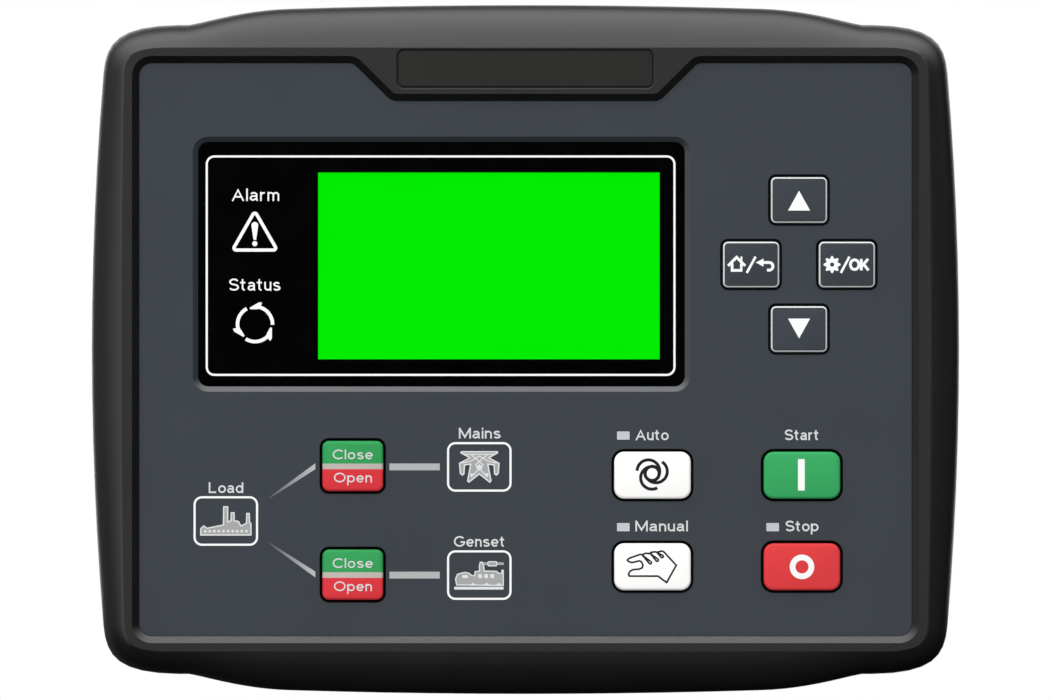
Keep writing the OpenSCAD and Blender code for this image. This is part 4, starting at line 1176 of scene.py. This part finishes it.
def make_world():
    """White to the camera, an even fill for matt faces, soft boxes above and at the left for gloss."""
    world = bpy.data.worlds.new("studio")
    scene.world = world
    world.use_nodes = True
    tree = world.node_tree
    tree.nodes.clear()

    def plus(first, second):
        return math_step(tree, "ADD", first, second)

    def times(first, second):
        return math_step(tree, "MULTIPLY", first, second)

    def larger(first, second):
        return math_step(tree, "MAXIMUM", first, second)

    way = tree.nodes.new("ShaderNodeTexCoord").outputs["Generated"]
    x, y, z = add_node(tree, "ShaderNodeSeparateXYZ", Vector=way).outputs
    ahead = larger(times(y, -1.0), 0.0)
    left = larger(times(x, -1.0), 0.0)
    right = larger(x, 0.0)
    up = larger(z, 0.0)
    # The front box has a dark gap round the camera, and is brighter at the left than at the right
    box = times(remap(tree, ahead, GAP_EDGE, GAP_FULL, FRONT_BOX, 0.0), ahead)
    sides = plus(times(left, LEFT_BOX), times(right, RIGHT_SHADE))
    front = plus(times(plus(box, sides), ahead), times(left, LEFT_EDGE))
    tall = plus(times(z, TOP_BOX), times(math_step(tree, "POWER", up, 2.0), TOP_SKY))
    above = times(tall, remap(tree, y, TOP_FULL, TOP_END, 1.0, 0.0))
    behind = remap(tree, y, BEHIND_EDGE, BEHIND_FULL, 0.0, 1.0)
    gloss = plus(larger(plus(front, above), 0.0), behind)
    matt = plus(times(z, FILL_RISE), FILL)
    rays = tree.nodes.new("ShaderNodeLightPath").outputs
    through = times(rays["Is Transmission Ray"], math_step(tree, "GREATER_THAN", y, 0.0))
    seen = larger(rays["Is Camera Ray"], through)
    reflected = larger(rays["Is Glossy Ray"], rays["Is Transmission Ray"])
    level = blend_numbers(tree, seen, blend_numbers(tree, reflected, matt, gloss), 1.0)
    sky = add_node(tree, "ShaderNodeBackground", Color=(1.0, 1.0, 1.0, 1.0), Strength=level)
    end = tree.nodes.new("ShaderNodeOutputWorld")
    tree.links.new(sky.outputs[0], end.inputs[0])


def add_lamp(name, place, watts):
    lamp = add_object(name, bpy.data.lights.new(name, "AREA"))
    lamp.data.energy = watts
    lamp.location = place
    lamp.visible_camera = False
    return lamp


def make_rear_card():
    """A small bright card close behind the case, seen only in gloss."""
    card = add_lamp("rear_card", CARD_AT, CARD_WATTS)
    card.data.shape = "RECTANGLE"
    card.data.size = CARD_WIDTH
    card.data.size_y = CARD_HEIGHT
    card.rotation_euler = (math.radians(-90), 0, 0)
    card.visible_diffuse = False
    card.visible_transmission = False


def make_lamp(name, place, watts):
    """A large soft lamp that looks at the part and stays out of its gloss."""
    lamp = add_lamp(name, place, watts)
    lamp.data.size = LAMP_SIZE
    lamp.rotation_euler = (-Vector(place)).to_track_quat("-Z", "Y").to_euler()
    lamp.visible_glossy = False


def pale_floor():
    """Pale matt floor, see-through from below."""
    material = moulded("floor_pale", srgb(246, 246, 246), 0.8, 0.1, 4.0, 0.02, 0.01)
    tree = material.node_tree
    under = tree.nodes.new("ShaderNodeNewGeometry").outputs["Backfacing"]
    side = add_node(tree, "ShaderNodeMixShader", Fac=under)
    tree.links.new(tree.nodes["Principled BSDF"].outputs[0], side.inputs[1])
    tree.links.new(tree.nodes.new("ShaderNodeBsdfTransparent").outputs[0], side.inputs[2])
    tree.links.new(side.outputs[0], tree.nodes["Material Output"].inputs[0])
    return material


def make_floor():
    shape = bmesh.new()
    bmesh.ops.create_circle(shape, cap_ends=True, segments=96, radius=FLOOR_RADIUS)
    bmesh.ops.translate(shape, verts=shape.verts, vec=(0, 0, FLOOR_LEVEL))
    floor = add_object("floor", mesh_of(shape, "floor"))
    floor.data.materials.append(pale_floor())
    floor.visible_glossy = False
    floor.visible_diffuse = False


make_camera()
make_world()
make_lamp("front_lamp", FRONT_LAMP_AT, FRONT_LAMP_WATTS)
make_lamp("rear_lamp", REAR_LAMP_AT, REAR_LAMP_WATTS)
make_rear_card()
make_floor()
make_bezel()
make_fascia()
make_window()
make_keys()
make_keypad()
make_rear_housing()
make_rear()
make_inside()
make_key_signs()
make_panel_signs()
make_window_signs()

scene.view_settings.view_transform = "Standard"
